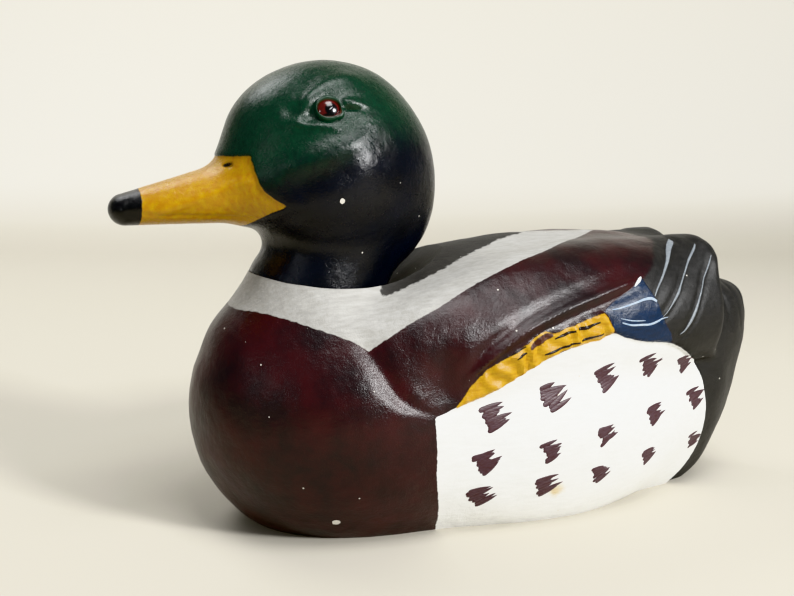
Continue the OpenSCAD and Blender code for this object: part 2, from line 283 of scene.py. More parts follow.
def even_out(form, p, quads, rounds=6):
    """Slides points along the surface until their spacing is even."""
    a = quads.ravel()
    b = np.roll(quads, 1, axis=1).ravel()
    count = (np.bincount(a, minlength=len(p)) + np.bincount(b, minlength=len(p)))[:, None]
    for _ in range(rounds):
        total = np.stack([np.bincount(a, p[b, i], len(p)) + np.bincount(b, p[a, i], len(p))
                          for i in range(3)], axis=1)
        move = total / count - p
        g = slopes(form, p)
        g /= np.linalg.norm(g, axis=1)[:, None]
        p = settle(form, p + 0.6 * (move - (move * g).sum(1)[:, None] * g), 1)
    return p


def hand_carved(points, coarse, fine, seed):
    """Small unevenness of knife work and of the ground coat, in millimetres."""
    shift = Vector((seed, seed * 1.7, seed * 0.6))
    return np.array([coarse * noise.noise(Vector(q) / 17 + shift)
                     + 0.4 * coarse * noise.noise(Vector(q) / 6 + shift)
                     + fine * noise.noise(Vector(q) / 2.2 - shift) for q in points])


def skin(name, form, relief, low, high, step, coarse=0.35, fine=0.05, seed=1.0):
    """A closed mesh, in metres, over a form with its relief and the marks of the knife."""
    axes = np.meshgrid(*[np.arange(a, b + step, step) for a, b in zip(low, high)],
                       indexing="ij", sparse=True)
    values = np.clip(form(axes) / step, -3, 3).astype(np.float32)
    grid = openvdb.FloatGrid(3.0)
    grid.copyFromArray(np.ascontiguousarray(values))
    points, quads = grid.convertToQuads(0.0)
    points = settle(form, points.astype(float) * step + np.array(low, float))
    points = even_out(form, points, quads)
    g = slopes(form, points)
    g /= np.linalg.norm(g, axis=1)[:, None]
    lift = relief(*points.T) + hand_carved(points, coarse, fine, seed)
    points = points + lift[:, None] * g
    mesh = bpy.data.meshes.new(name)
    mesh.from_pydata((points * MM).tolist(), [], quads.tolist())
    mesh.update()
    return mesh


# ---- paint edges: signed distances in millimetres, positive inside a colour ----

COLLAR_EDGE = ((-70, 62.5), (-63, 62.6), (-57, 61.3), (-50.6, 59.2), (-45.6, 57.5), (-41.9, 55.8),
               (-38.8, 53.8))
# Angles round the body from straight up, in degrees, against Y
STRIPE_EDGE = ((-38.8, 67.3), (-35.4, 64.3), (-29.5, 59.6), (-18.4, 52.7), (-9, 46.0),
               (6.7, 36.7), (25, 24.7), (40, 7.5), (46, 0.0), (52, -8.0))
BACK_EDGE = ((-32, 41.0), (-27.5, 40.0), (-22, 36.5), (-15.3, 31.6), (-1.3, 18.3),
             (9.8, 9.0), (19.6, 2.2),
             (24, -2.0), (34, -10.0))
BLACK_FRONT = ((40, 58.0), (50, 53.0), (60.6, 47.0), (66, 44.0), (69, 44.4), (71, 48.0),
               (75.8, 53.5), (79, 59.0), (86, 66.0))
FLANK_FRONT = ((-2, -16.7), (8, -18.6), (18, -20.9), (30, -21.8), (36.7, -22.4), (44, -22.6))
GREEN_EDGE = ((-64, 97.5), (-54, 101.9), (-43.5, 105.7), (-32, 110.4), (-17, 110.8))

# Cut faces are bare beyond this distance in from the painted skin
PAINTED_RIM = 4.0
# Outlines in side view: the yellow band under the wing edge, the blue patch behind it
YELLOW = ((-16.4, 37.6), (-14.2, 40.4), (-11.9, 43.4), (-9.6, 45.7), (-7.5, 47.5), (-4.1, 49.5),
          (0.2, 51.7), (3.2, 53.5), (7.3, 56.2), (9.7, 57.1), (12.4, 56.3), (16.3, 57.5),
          (20.3, 58.6), (24.4, 59.8), (28.5, 60.8), (29.4, 59.7), (30.8, 57.2), (32.1, 54.9),
          (28.2, 53.2), (20.2, 52.1), (15.3, 51.4), (10.7, 49.4), (6.2, 47.2), (1.8, 44.7),
          (-3.4, 41.7), (-8.9, 39.6), (-11.8, 38.9))
BLUE = ((43.6, 69.0), (39.1, 66.4), (34.3, 64.3), (30.3, 62.3), (28.6, 61.2), (30.0, 60.0),
        (30.8, 57.9), (31.8, 55.9), (32.8, 54.7), (36.1, 53.1), (40.0, 52.1), (44.1, 51.2),
        (47.6, 50.7), (50.3, 50.3), (53.4, 49.8), (52.6, 52.4), (49.9, 56.3), (48.2, 59.9),
        (47.5, 62.1), (46.6, 63.9), (44.9, 66.5))
# Brown showing through the yellow where the thick paint has lifted
LIFTED = ((3.8, 52.7), (5.4, 54.3), (7.7, 55.8), (10.1, 56.7), (12.0, 56.6), (11.0, 55.4),
          (8.1, 54.1), (5.4, 52.6))


def near(path, u, v):
    """Distance to an open line drawn through points."""
    best = np.full(u.shape, 1e9)
    for (au, av), (bu, bv) in zip(path, path[1:]):
        t = np.clip(((u - au) * (bu - au) + (v - av) * (bv - av))
                    / ((bu - au) ** 2 + (bv - av) ** 2), 0, 1)
        best = np.minimum(best, np.hypot(u - au - t * (bu - au), v - av - t * (bv - av)))
    return best


def within(outline, u, v):
    """Distance inside a closed outline, negative outside it."""
    ring = (*outline, outline[0])
    crossed = np.zeros(u.shape, bool)
    for (au, av), (bu, bv) in zip(ring, ring[1:]):
        if av != bv:
            crossed ^= ((av > v) != (bv > v)) & (u < au + (v - av) * (bu - au) / (bv - av))
    return np.where(crossed, 1, -1) * near(ring, u, v)


def body_paint(x, y, z):
    """Every colour edge on the body, from the breast aft."""
    r = np.hypot(x, z - 40)
    turn = np.degrees(np.arctan2(np.abs(x), z - 40))
    to_arc = np.radians(1) * r
    stripe = (along(STRIPE_EDGE, y) - turn) * to_arc
    white = np.where(y < -38.8, z - along(COLLAR_EDGE, y), stripe)
    back = np.minimum((along(BACK_EDGE, y) - turn) * to_arc, y + 31.5)
    lower = along(WING_EDGE, y)
    yellow, blue = within(YELLOW, y, z), within(BLUE, y, z)
    flank = np.minimum(np.minimum(lower - z, y - along(FLANK_FRONT, z)),
                       along(FLANK_REAR, z) - y)
    side = smooth(np.abs(x), 8, 14)
    height, radius = neck_frame((x, y, z))
    return {"collar": white, "back": back, "yellow": np.where(side > 0.5, yellow, -9),
            "blue": np.where(side > 0.5, blue, -9), "flank": flank,
            "black": y - along(BLACK_FRONT, z),
            "lifted": within(LIFTED, y, z),
            "stain": np.maximum(0.9 - np.hypot(y - 14, z - 38.5),
                                1.9 - np.hypot(y - 15.3, z - 11.2)),
            "bare": np.where((height > -3) & (radius > SEAT_R - 1.5), -9,
                             -body_form((x, y, z)) - PAINTED_RIM)}


def head_paint(x, y, z):
    """Bill, nail, nostril, and the fade from green crown to blue-black neck."""
    hole = np.sqrt(((y + 69.8) / 1.15) ** 2 + ((z - 101.7 - 0.3 * (y + 69.8)) / 0.55) ** 2)
    return {"bill": bill_inside(y, z), "nail": -92.2 - 0.012 * (z - 92) ** 2 - y,
            "nostril": 1.0 - hole, "green": z - along(GREEN_EDGE, y),
            "bare": -head_form((x, y, z)) - PAINTED_RIM}


def write_paint(mesh, fields):
    """Stores a piece's colour edges on its points."""
    points = np.empty(len(mesh.vertices) * 3)
    mesh.vertices.foreach_get("co", points)
    for name, values in fields(*(points.reshape(-1, 3).T / MM)).items():
        layer = mesh.attributes.new(name, "FLOAT", "POINT")
        layer.data.foreach_set("value", np.clip(values, -20, 20).astype(np.float32))


# ---- cutting tools and finished pieces ----

def to_neck():
    """Places a tool drawn about the origin on the neck axis, its top along the axis."""
    tilt = Matrix.Rotation(-math.radians(NECK_TILT), 4, "X")
    return Matrix.Translation(Vector(SEAT) * MM) @ tilt


def to_eye(side):
    """Places a tool drawn about the origin on one eye, looking out of the head."""
    out = Matrix.Rotation(-math.radians(EYE_FORWARD), 4, "Z")
    out = out @ Matrix.Rotation(math.radians(90 - EYE_UP), 4, "Y")
    place = Matrix.Translation(Vector(EYE_AT) * MM) @ out
    return place if side > 0 else Matrix.Diagonal((-1, 1, 1, 1)) @ place


def cone(low, high, r_low, r_high, place=None, around=96):
    """A closed cone or cylinder between two heights, in millimetres."""
    bm = bmesh.new()
    bmesh.ops.create_cone(bm, cap_ends=True, segments=around, radius1=r_low * MM,
                          radius2=r_high * MM, depth=(high - low) * MM,
                          matrix=Matrix.Translation((0, 0, (low + high) / 2 * MM)))
    bm.transform(place or Matrix())
    return bm


def stadium(y1, y2, r, low, high, around=48):
    """A closed bar with round ends along Y, in millimetres."""
    bm = bmesh.new()
    ring = [(r * math.cos(a), (y2 if a < math.pi else y1) + r * math.sin(a))
            for a in (2 * math.pi * (i + 0.5) / (2 * around) for i in range(2 * around))]
    base = bm.faces.new([bm.verts.new((x * MM, y * MM, low * MM)) for x, y in ring])
    base.normal_flip()
    top = bmesh.ops.extrude_face_region(bm, geom=[base])["geom"]
    for v in top:
        if isinstance(v, bmesh.types.BMVert):
            v.co.z = high * MM
    bmesh.ops.recalc_face_normals(bm, faces=bm.faces)
    return bm


def put(name, mesh, materials=()):
    """Links a mesh to the scene as an object at the origin, with its materials."""
    piece = bpy.data.objects.new(name, mesh)
    bpy.context.scene.collection.objects.link(piece)
    for material in materials:
        mesh.materials.append(material)
    return piece


def evaluated(piece):
    """A plain copy of a piece's mesh with its modifiers worked in, then removed."""
    bpy.context.view_layer.update()
    graph = bpy.context.evaluated_depsgraph_get()
    mesh = bpy.data.meshes.new_from_object(piece.evaluated_get(graph), depsgraph=graph)
    old = piece.data
    piece.modifiers.clear()
    piece.data = mesh
    mesh.name = piece.name
    if old.users == 0:
        bpy.data.meshes.remove(old)
    return mesh


def cut(piece, tools):
    """Takes each tool's solid out of a piece and smooths what is left but its crisp edges."""
    cutters = []
    for bm in tools:
        bmesh.ops.recalc_face_normals(bm, faces=bm.faces)
        cutters.append(put("tool", bpy.data.meshes.new("tool")))
        bm.to_mesh(cutters[-1].data)
        bm.free()
        boolean = piece.modifiers.new("cut", "BOOLEAN")
        boolean.operation, boolean.solver = "DIFFERENCE", "MANIFOLD"
        boolean.object = cutters[-1]
    mesh = evaluated(piece)
    for cutter in cutters:
        bpy.data.meshes.remove(cutter.data)
    mesh.shade_smooth()
    mesh.set_sharp_from_angle(angle=math.radians(40))


def settle_in(piece, body, slot, *nodes):
    """Attaches a finished piece to the body it rides on, hides the parts it stands for; slot is not
    used.
    """
    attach(piece, body)
    if nodes:
        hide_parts(*nodes)


# ---- materials ----

def hex_colour(text):
    """Linear colour from an sRGB hex value."""
    srgb = [int(text[i:i + 2], 16) / 255 for i in (1, 3, 5)]
    return (*(v / 12.92 if v <= 0.04045 else ((v + 0.055) / 1.055) ** 2.4 for v in srgb), 1.0)


def add(tree, kind, sockets=None, **settings):
    """A new node with its settings, its sockets set to values or joined to other nodes."""
    node = tree.nodes.new(kind)
    for name, value in settings.items():
        setattr(node, name, value)
    for key, value in (sockets or {}).items():
        if isinstance(value, bpy.types.Node):
            value = value.outputs[0]
        if isinstance(value, bpy.types.NodeSocket):
            tree.links.new(value, node.inputs[key])
        else:
            node.inputs[key].default_value = value
    return node


def surface(name, **sockets):
    """A material with its principled shader set, and its coordinates in millimetres."""
    material = bpy.data.materials.new(name)
    material.use_nodes = True
    tree = material.node_tree
    shader = tree.nodes["Principled BSDF"]
    for key, value in sockets.items():
        shader.inputs[key.replace("_", " ")].default_value = value
    place = add(tree, "ShaderNodeTexCoord").outputs["Object"]
    mm = add(tree, "ShaderNodeVectorMath", {0: place, "Scale": 1 / MM}, operation="SCALE")
    return material, tree, shader, mm


def raise_skin(tree, shader, layers):
    """Bump from several height patterns, each with its depth in millimetres."""
    height = 0.0
    for pattern, depth in layers:
        height = add(tree, "ShaderNodeMath", {0: pattern, 1: depth, 2: height},
                     operation="MULTIPLY_ADD")
    bump_node = add(tree, "ShaderNodeBump", {"Height": height, "Distance": MM})
    tree.links.new(bump_node.outputs[0], shader.inputs["Normal"])


def painted_wood(name, base, zones, chips, bristle=(1.0, 0.16, 1.0), grain=0.085):
    """Semi-gloss enamel brushed in zones over a white ground coat on carved wood.

    To the eye: a soft uneven shine broken up by a fine bumpy ground, colour that drifts
    from one tone to another, ragged paint edges, and a few white chips.
    Each zone is (edge, tone, second tone, roughness, softness, raggedness) in millimetres.
    """
    material, tree, shader, mm = surface(name, IOR=1.5)
    drift = add(tree, "ShaderNodeTexNoise", {"Vector": mm, "Scale": 0.07, "Detail": 4.0,
                                             "Roughness": 0.6})
    drift = add(tree, "ShaderNodeMapRange", {0: drift, 1: 0.36, 2: 0.64})
    ragged = add(tree, "ShaderNodeTexNoise", {"Vector": mm, "Scale": 0.45, "Detail": 4.0,
                                              "Roughness": 0.62})
    brushed = add(tree, "ShaderNodeMapping", {"Vector": mm, "Scale": bristle})
    streaks = add(tree, "ShaderNodeTexNoise", {"Vector": brushed, "Scale": 1.1, "Detail": 3.0,
                                               "Roughness": 0.7})
    fine = add(tree, "ShaderNodeTexNoise", {"Vector": mm, "Scale": 2.1, "Detail": 3.0,
                                            "Roughness": 0.7})
    lumps = add(tree, "ShaderNodeTexNoise", {"Vector": mm, "Scale": 0.55, "Detail": 1.0})
    mix = add(tree, "ShaderNodeMix", {"Factor": drift, 6: base[0], 7: base[1]}, data_type="RGBA")
    colour, rough, height = mix.outputs[2], base[2], 0.0
    streak_mix = add(tree, "ShaderNodeMapRange", {0: streaks, 1: 0.3, 2: 0.7})
    for edge, tone, second, gloss, soft, rag in zones:
        field = add(tree, "ShaderNodeAttribute", attribute_name=edge,
                    attribute_type="GEOMETRY").outputs["Fac"]
        wander = add(tree, "ShaderNodeMath", {0: ragged, 1: 2 * rag, 2: -rag},
                     operation="MULTIPLY_ADD")
        field = add(tree, "ShaderNodeMath", {0: field, 1: wander})
        mask = add(tree, "ShaderNodeMapRange", {0: field, 1: -soft, 2: soft},
                   interpolation_type="SMOOTHSTEP")
        tones = add(tree, "ShaderNodeMix", {"Factor": streak_mix, 6: tone, 7: second},
                    data_type="RGBA")
        colour = add(tree, "ShaderNodeMix", {"Factor": mask, 6: colour, 7: tones.outputs[2]},
                     data_type="RGBA").outputs[2]
        rough = add(tree, "ShaderNodeMix", {"Factor": mask, 2: rough, 3: gloss}).outputs[0]
        height = add(tree, "ShaderNodeMath", {0: mask, 1: min(1.0, 0.3 / soft), 2: height},
                     operation="MULTIPLY_ADD")
    # pinholes and dust: one speck or none in each 7 mm of paint
    cells = add(tree, "ShaderNodeTexVoronoi", {"Vector": mm, "Scale": 0.14})
    dust = add(tree, "ShaderNodeMath", {0: cells.outputs["Distance"], 1: 0.032},
               operation="LESS_THAN")
    colour = add(tree, "ShaderNodeMix", {"Factor": dust, 6: colour, 7: CHALK},
                 data_type="RGBA").outputs[2]
    for place, radius in chips:
        gap = add(tree, "ShaderNodeVectorMath", {0: mm, 1: place}, operation="DISTANCE")
        gap = add(tree, "ShaderNodeMath", {0: ragged, 1: -2.4 * radius, 2: gap.outputs["Value"]},
                  operation="MULTIPLY_ADD")
        chip = add(tree, "ShaderNodeMath", {0: gap, 1: -0.2 * radius}, operation="LESS_THAN")
        colour = add(tree, "ShaderNodeMix", {"Factor": chip, 6: colour, 7: CHALK},
                     data_type="RGBA").outputs[2]
        height = add(tree, "ShaderNodeMath", {0: chip, 1: -1.0, 2: height},
                     operation="MULTIPLY_ADD")
    tree.links.new(colour, shader.inputs["Base Color"])
    rough = add(tree, "ShaderNodeMath", {0: streaks, 1: 0.12, 2: rough},
                operation="MULTIPLY_ADD")
    rough = add(tree, "ShaderNodeMath", {0: rough, 1: -0.06}, use_clamp=True)
    tree.links.new(rough.outputs[0], shader.inputs["Roughness"])
    raise_skin(tree, shader, ((height, 0.05), (fine, grain), (lumps, grain),
                              (streaks, 0.6 * grain)))
    return material


CHALK = hex_colour("#dcd8cf")


def brushed_enamel(name, tone, second):
    """Thick strokes of enamel over the finished coat.

    To the eye: two tones that the bristles left side by side, with a soft shine.
    """
    material, tree, shader, mm = surface(name, IOR=1.5, Roughness=0.42)
    pulled = add(tree, "ShaderNodeMapping", {"Vector": mm, "Rotation": (0.62, 0, 0),
                                             "Scale": (1, 0.25, 1)})
    hairs = add(tree, "ShaderNodeTexNoise", {"Vector": pulled, "Scale": 2.2, "Detail": 3.0,
                                             "Roughness": 0.7})
    part = add(tree, "ShaderNodeMapRange", {0: hairs, 1: 0.38, 2: 0.66})
    mix = add(tree, "ShaderNodeMix", {"Factor": part, 6: (*tone, 1.0), 7: hex_colour(second)},
              data_type="RGBA")
    tree.links.new(mix.outputs[2], shader.inputs["Base Color"])
    raise_skin(tree, shader, ((hairs, 0.09),))
    return material


def bare_wood(name, light, dark, ring, fleck):
    """Planed wood, unvarnished; ring is the spacing of its growth rings in millimetres.

    To the eye: dull warm bands that run along the grain, with fine darker pores.
    """
    material, tree, shader, mm = surface(name, Roughness=0.68, IOR=1.5)
    pulled = add(tree, "ShaderNodeMapping", {"Vector": mm, "Scale": (1.0, 0.08, 0.35)})
    rings = add(tree, "ShaderNodeTexWave", {"Vector": pulled, "Scale": 0.32 / ring,
                                            "Distortion": 5.0, "Detail": 3.0,
                                            "Detail Scale": 0.6}, bands_direction="X")
    pores = add(tree, "ShaderNodeTexNoise", {"Vector": pulled, "Scale": fleck, "Detail": 4.0,
                                             "Roughness": 0.7})
    both = add(tree, "ShaderNodeMath", {0: rings, 1: pores}, operation="MULTIPLY")
    mix = add(tree, "ShaderNodeMix", {"Factor": both, 6: hex_colour(light),
                                      7: hex_colour(dark)}, data_type="RGBA")
    tree.links.new(mix.outputs[2], shader.inputs["Base Color"])
    raise_skin(tree, shader, ((pores, 0.08),))
    return material


def brass(name):
    """Turned brass that has been handled.

    To the eye: a warm soft mirror, duller and browner in patches, with faint tool lines.
    """
    material, tree, shader, mm = surface(name, Metallic=1.0)
    tarnish = add(tree, "ShaderNodeTexNoise", {"Vector": mm, "Scale": 0.5, "Detail": 4.0})
    part = add(tree, "ShaderNodeMapRange", {0: tarnish, 1: 0.45, 2: 0.7})
    mix = add(tree, "ShaderNodeMix", {"Factor": part, 6: hex_colour("#c89f50"),
                                      7: hex_colour("#8a6a35")}, data_type="RGBA")
    tree.links.new(mix.outputs[2], shader.inputs["Base Color"])
    rough = add(tree, "ShaderNodeMapRange", {0: tarnish, 1: 0.3, 2: 0.7, 3: 0.22, 4: 0.45})
    tree.links.new(rough.outputs[0], shader.inputs["Roughness"])
    lines = add(tree, "ShaderNodeTexNoise", {"Vector": mm, "Scale": 4.0, "Detail": 2.0})
    raise_skin(tree, shader, ((lines, 0.015),))
    return material


def cast_lead():
    """Lead as it came from an open mould.

    To the eye: a dull blue-grey metal with shallow pits and a chalky bloom.
    """
    material, tree, shader, mm = surface("cast_lead", Metallic=1.0)
    bloom = add(tree, "ShaderNodeTexNoise", {"Vector": mm, "Scale": 0.25, "Detail": 4.0})
    mix = add(tree, "ShaderNodeMix", {"Factor": bloom, 6: hex_colour("#5b5f64"),
                                      7: hex_colour("#8b8f93")}, data_type="RGBA")
    tree.links.new(mix.outputs[2], shader.inputs["Base Color"])
    rough = add(tree, "ShaderNodeMapRange", {0: bloom, 3: 0.45, 4: 0.75})
    tree.links.new(rough.outputs[0], shader.inputs["Roughness"])
    pits = add(tree, "ShaderNodeTexNoise", {"Vector": mm, "Scale": 0.9, "Detail": 3.0})
    raise_skin(tree, shader, ((pits, 0.25),))
    return material


def leather():
    """Vegetable-tanned leather, cut edge and all.

    To the eye: a matt red-brown with a fine pebbled grain.
    """
    material, tree, shader, mm = surface("tanned_leather", Roughness=0.7, IOR=1.45)
    cells = add(tree, "ShaderNodeTexVoronoi", {"Vector": mm, "Scale": 1.3})
    shade = add(tree, "ShaderNodeTexNoise", {"Vector": mm, "Scale": 0.3, "Detail": 3.0})
    mix = add(tree, "ShaderNodeMix", {"Factor": shade, 6: hex_colour("#6b4326"),
                                      7: hex_colour("#4a2c18")}, data_type="RGBA")
    tree.links.new(mix.outputs[2], shader.inputs["Base Color"])
    raise_skin(tree, shader, ((cells, 0.12),))
    return material


def eye_glass(iris):
    """A glass eye painted on its back: red iris, black pupil low and aft, and a painted highlight,
    a small white glint standing in for a reflection.

    To the eye: a wet, deep shine over flat colour. UVs are the lens's own face, 0 to 1.
    """
    material, tree, shader, _ = surface("painted_glass_eye", Roughness=0.2, IOR=1.5,
                                         Coat_Weight=0.5, Coat_Roughness=0.1)
    face = add(tree, "ShaderNodeTexCoord").outputs["UV"]
    flecks = add(tree, "ShaderNodeTexNoise", {"Vector": face, "Scale": 9.0, "Detail": 3.0})
    mix = add(tree, "ShaderNodeMix", {"Factor": flecks, 6: (*iris, 1.0),
                                      7: hex_colour("#3a1211")}, data_type="RGBA")
    colour = mix.outputs[2]
    black = hex_colour("#070707")
    round_spot = (1, 1, 1)
    # place, stretch, turn, radius, +1 to colour inside or -1 outside, tone
    for centre, size, turn, radius, sign, tone in (
            ((0.5, 0.5, 0), round_spot, 0.0, 0.46, 1, black),
            ((0.60, 0.43, 0), round_spot, 0.0, 0.28, -1, black),
            ((0.5, 0.08, 0), (0.5, 1, 1), 0.0, 0.17, -1, black),
            # last spot: a painted highlight, a white glint dash that stands in for a reflection on
            # the lens
            ((0.59, 0.46, 0), (0.55, 2.6, 1), 0.7, 0.04, -1, hex_colour("#c9cdd0"))):
        spot = add(tree, "ShaderNodeMapping",
                   {"Vector": face, "Location": centre, "Rotation": (0, 0, turn),
                    "Scale": tuple(1 / v for v in size)}, vector_type="TEXTURE")
        gap = add(tree, "ShaderNodeVectorMath", {0: spot}, operation="LENGTH").outputs["Value"]
        mask = add(tree, "ShaderNodeMapRange", {0: gap, 1: radius - 0.03 * sign,
                                                2: radius + 0.03 * sign})
        colour = add(tree, "ShaderNodeMix", {"Factor": mask, 6: colour, 7: tone},
                     data_type="RGBA").outputs[2]
    tree.links.new(colour, shader.inputs["Base Color"])
    return material


def lid_putty(tone):
    """Putty pressed round the lens and painted with the head, its inner edge rubbed pink.

    To the eye: the head's green, a little thicker and smoother, with a thin pale line.
    """
    material, tree, shader, mm = surface("painted_lid_putty", Roughness=0.36, IOR=1.5)
    rubbed = add(tree, "ShaderNodeAttribute", attribute_name="rim",
                 attribute_type="GEOMETRY").outputs["Fac"]
    mix = add(tree, "ShaderNodeMix", {"Factor": rubbed, 6: (*tone, 1.0),
                                      7: hex_colour("#7d4a45")}, data_type="RGBA")
    tree.links.new(mix.outputs[2], shader.inputs["Base Color"])
    lumps = add(tree, "ShaderNodeTexNoise", {"Vector": mm, "Scale": 1.2, "Detail": 2.0})
    raise_skin(tree, shader, ((lumps, 0.12),))
    return material


def turned(rings, place):
    """Rings of points joined into a turned wall, its ends still open, and the rings' points."""
    bm = bmesh.new()
    rows = [[bm.verts.new(place @ Vector(p)) for p in ring] for ring in rings]
    n = len(rows[0])
    for a, b in zip(rows, rows[1:]):
        for i in range(n):
            bm.faces.new((a[i], a[(i + 1) % n], b[(i + 1) % n], b[i]))
    return bm, rows


def eye_lens(side):
    """A round body with a domed front; its UVs are its face seen square on."""
    dome_r = (EYE_R ** 2 + DOME ** 2) / (2 * DOME)
    steps = [(r, -2.95) for r in (1.0, EYE_R - 0.1)] + [(EYE_R, -2.8), (EYE_R, -0.05)]
    steps += [(r, DOME - dome_r + math.sqrt(dome_r ** 2 - r ** 2))
              for r in np.linspace(EYE_R, 0.12, 14)]
    rings = [[(r * MM * math.cos(t), r * MM * math.sin(t), h * MM)
              for t in np.linspace(0, 2 * math.pi, 48, endpoint=False)] for r, h in steps]
    bm, rows = turned(rings, Matrix())
    bm.faces.new(rows[0])
    bm.faces.new(rows[-1])
    uv = bm.loops.layers.uv.new("face")
    for face in bm.faces:
        for loop in face.loops:
            x, y, _ = loop.vert.co
            loop[uv].uv = (0.5 + y / (2 * EYE_R * MM), 0.5 - x / (2 * EYE_R * MM))
    bm.transform(to_eye(side))
    bmesh.ops.recalc_face_normals(bm, faces=bm.faces)
    mesh = bpy.data.meshes.new("lens")
    bm.to_mesh(mesh)
    bm.free()
    mesh.shade_smooth()
    mesh.set_sharp_from_angle(angle=math.radians(50))
    return mesh


def eye_lid(side):
    """A bead of putty round the lens, heavier above, drawn to a point low and aft."""
    around, over = 96, 18
    rings = []
    rims = []
    for k in range(over + 1):
        a = math.pi * k / over
        ring = []
        for t in np.linspace(0, 2 * math.pi, around, endpoint=False):
            up = -math.cos(t)
            corner = math.exp(-((t - 1.15) / 0.35) ** 2)
            low = max(0.0, -up)
            r_in = EYE_R - 0.12 - 0.9 * up ** 2 + 0.15 * corner
            r_out = EYE_R + 0.55 + 0.25 * max(0, up) + 1.0 * corner
            high = 0.66 + 0.22 * max(0, up) - 0.15 * corner
            r = (r_in + r_out) / 2 - (r_out - r_in) / 2 * math.cos(a)
            ring.append((r * MM * math.cos(t), r * MM * math.sin(t),
                         (-0.9 + (high + 0.9) * math.sin(a) ** 0.8) * MM))
            rims.append(math.exp(-((k / over - 0.27) / 0.10) ** 2) * (0.25 + 0.75 * low + corner)
                        * 0.8)
        rings.append(ring)
    bm, rows = turned(rings, to_eye(side))
    for i in range(around):
        bm.faces.new((rows[-1][i], rows[-1][(i + 1) % around], rows[0][(i + 1) % around],
                      rows[0][i]))
    bmesh.ops.recalc_face_normals(bm, faces=bm.faces)
    mesh = bpy.data.meshes.new("lid")
    bm.to_mesh(mesh)
    bm.free()
    mesh.attributes.new("rim", "FLOAT", "POINT").data.foreach_set(
        "value", np.clip(rims, 0, 1).astype(np.float32))
    mesh.shade_smooth()
    return mesh


# ---- brushwork, drawn in side view: (y, z) in millimetres and half the width ----

DABS = ((-8.0, 33.4, 1.12), (9.8, 37.6, 1.15), (28.4, 40.6, 1.05), (44.6, 42.6, 1.0),
        (60.2, 41.2, 0.85),
        (-9.8, 20.8, 1.0), (9.8, 22.6, 0.9), (27.5, 25.2, 0.95), (46.9, 28.2, 0.95),
        (65.6, 29.6, 1.0),
        (-10.2, 10.8, 0.95), (8.9, 12.4, 0.95), (27.0, 13.6, 0.85), (45.8, 15.8, 0.8),
        (68.4, 15.6, 0.8))
FEATHERS = (((63.6, 77.6, 0.45), (61.6, 76.7, 0.7), (59.9, 75.7, 0.72), (56.9, 73.5, 0.7),
             (53.7, 70.9, 0.58), (50.7, 68.2, 0.5), (48.2, 65.8, 0.42), (46.8, 64.0, 0.25)),
            ((69.6, 76.6, 0.25), (68.0, 75.3, 0.4), (64.2, 72.7, 0.42), (60.8, 69.6, 0.36),
             (57.7, 66.4, 0.45), (55.9, 64.2, 0.72), (53.7, 62.1, 0.5), (51.1, 59.7, 0.25),
             (49.0, 58.1, 0.08)),
            ((72.6, 73.6, 0.2), (70.4, 70.5, 0.38), (67.6, 67.4, 0.3), (66.0, 65.0, 0.32),
             (63.8, 61.7, 0.52), (61.6, 58.3, 0.8), (59.9, 55.8, 0.75), (57.9, 53.4, 0.4),
             (56.0, 52.3, 0.1)))
DASHES = (((9.0, 50.9, 0.25), (10.6, 51.3, 0.42), (13.4, 52.0, 0.32), (16.2, 52.8, 0.38),
           (20.0, 53.4, 0.2)),
          ((20.6, 53.7, 0.25), (22.6, 54.2, 0.45), (24.6, 54.5, 0.4), (28.0, 55.1, 0.2)),
          ((11.9, 55.0, 0.2), (13.4, 55.6, 0.35), (15.8, 56.1, 0.42), (18.6, 56.6, 0.3)),
          ((19.8, 57.0, 0.4), (21.7, 57.3, 0.6), (23.8, 57.6, 0.42), (27.0, 58.3, 0.3)),
          ((-1.0, 51.1, 0.1), (1.3, 52.3, 0.25), (3.5, 53.4, 0.15)),
          ((0.7, 50.1, 0.15), (2.2, 51.1, 0.4), (3.8, 51.7, 0.25)))
STREAKS = (((31.4, 61.4, 0.2), (33.8, 61.6, 0.28), (36.5, 62.1, 0.32), (39.3, 62.7, 0.36),
            (42.6, 63.4, 0.5), (45.4, 63.5, 0.55), (47.2, 62.6, 0.5)),
           ((34.4, 57.6, 0.25), (37.6, 56.7, 0.38), (41.4, 56.5, 0.42), (44.2, 56.4, 0.45),
            (47.0, 57.0, 0.42), (49.0, 57.6, 0.3), (51.0, 57.8, 0.1)),
           ((34.0, 58.8, 0.1), (38.0, 57.9, 0.25), (42.4, 57.6, 0.15)))
TIPS = (((40.4, 67.0, 0.12), (41.4, 67.8, 0.4), (42.8, 68.7, 0.5), (43.6, 69.3, 0.2)),)


# The wood's own colour where a face was cut after the carving was painted
BARE = ("bare", hex_colour("#c9a470"), hex_colour("#a87f4c"), 0.7, 0.2, 0.3)


def body_material(paint):
    """The body's coat: brown, then every other colour laid over it in order."""
    tone = {key: (*getattr(paint, key), 1.0) for key in paint.__annotations__}
    return painted_wood(
        "enamel_over_carved_wood_body", (tone["breast"], tone["wing"], 0.31),
        (("black", tone["stern"], hex_colour("#232221"), 0.50, 1.2, 1.5),
         ("collar", tone["stripe"], hex_colour("#9b9994"), 0.5, 0.15, 0.5),
         ("back", tone["back"], hex_colour("#393734"), 0.62, 0.4, 1.6),
         ("flank", tone["flank"], hex_colour("#e2e3e2"), 0.48, 0.15, 0.4),
         ("stain", hex_colour("#c9b68e"), hex_colour("#ded3b8"), 0.5, 1.3, 1.6),
         ("yellow", tone["gold"], hex_colour("#a67a12"), 0.38, 0.15, 0.5),
         ("lifted", hex_colour("#3a1d17"), hex_colour("#54301f"), 0.5, 0.15, 0.5),
         ("blue", tone["blue"], hex_colour("#0a1b31"), 0.32, 0.15, 0.4), BARE),
        (((28.9, -46.7, 7.0), 1.0), ((-33.0, -30.0, 9.0), 0.8)))


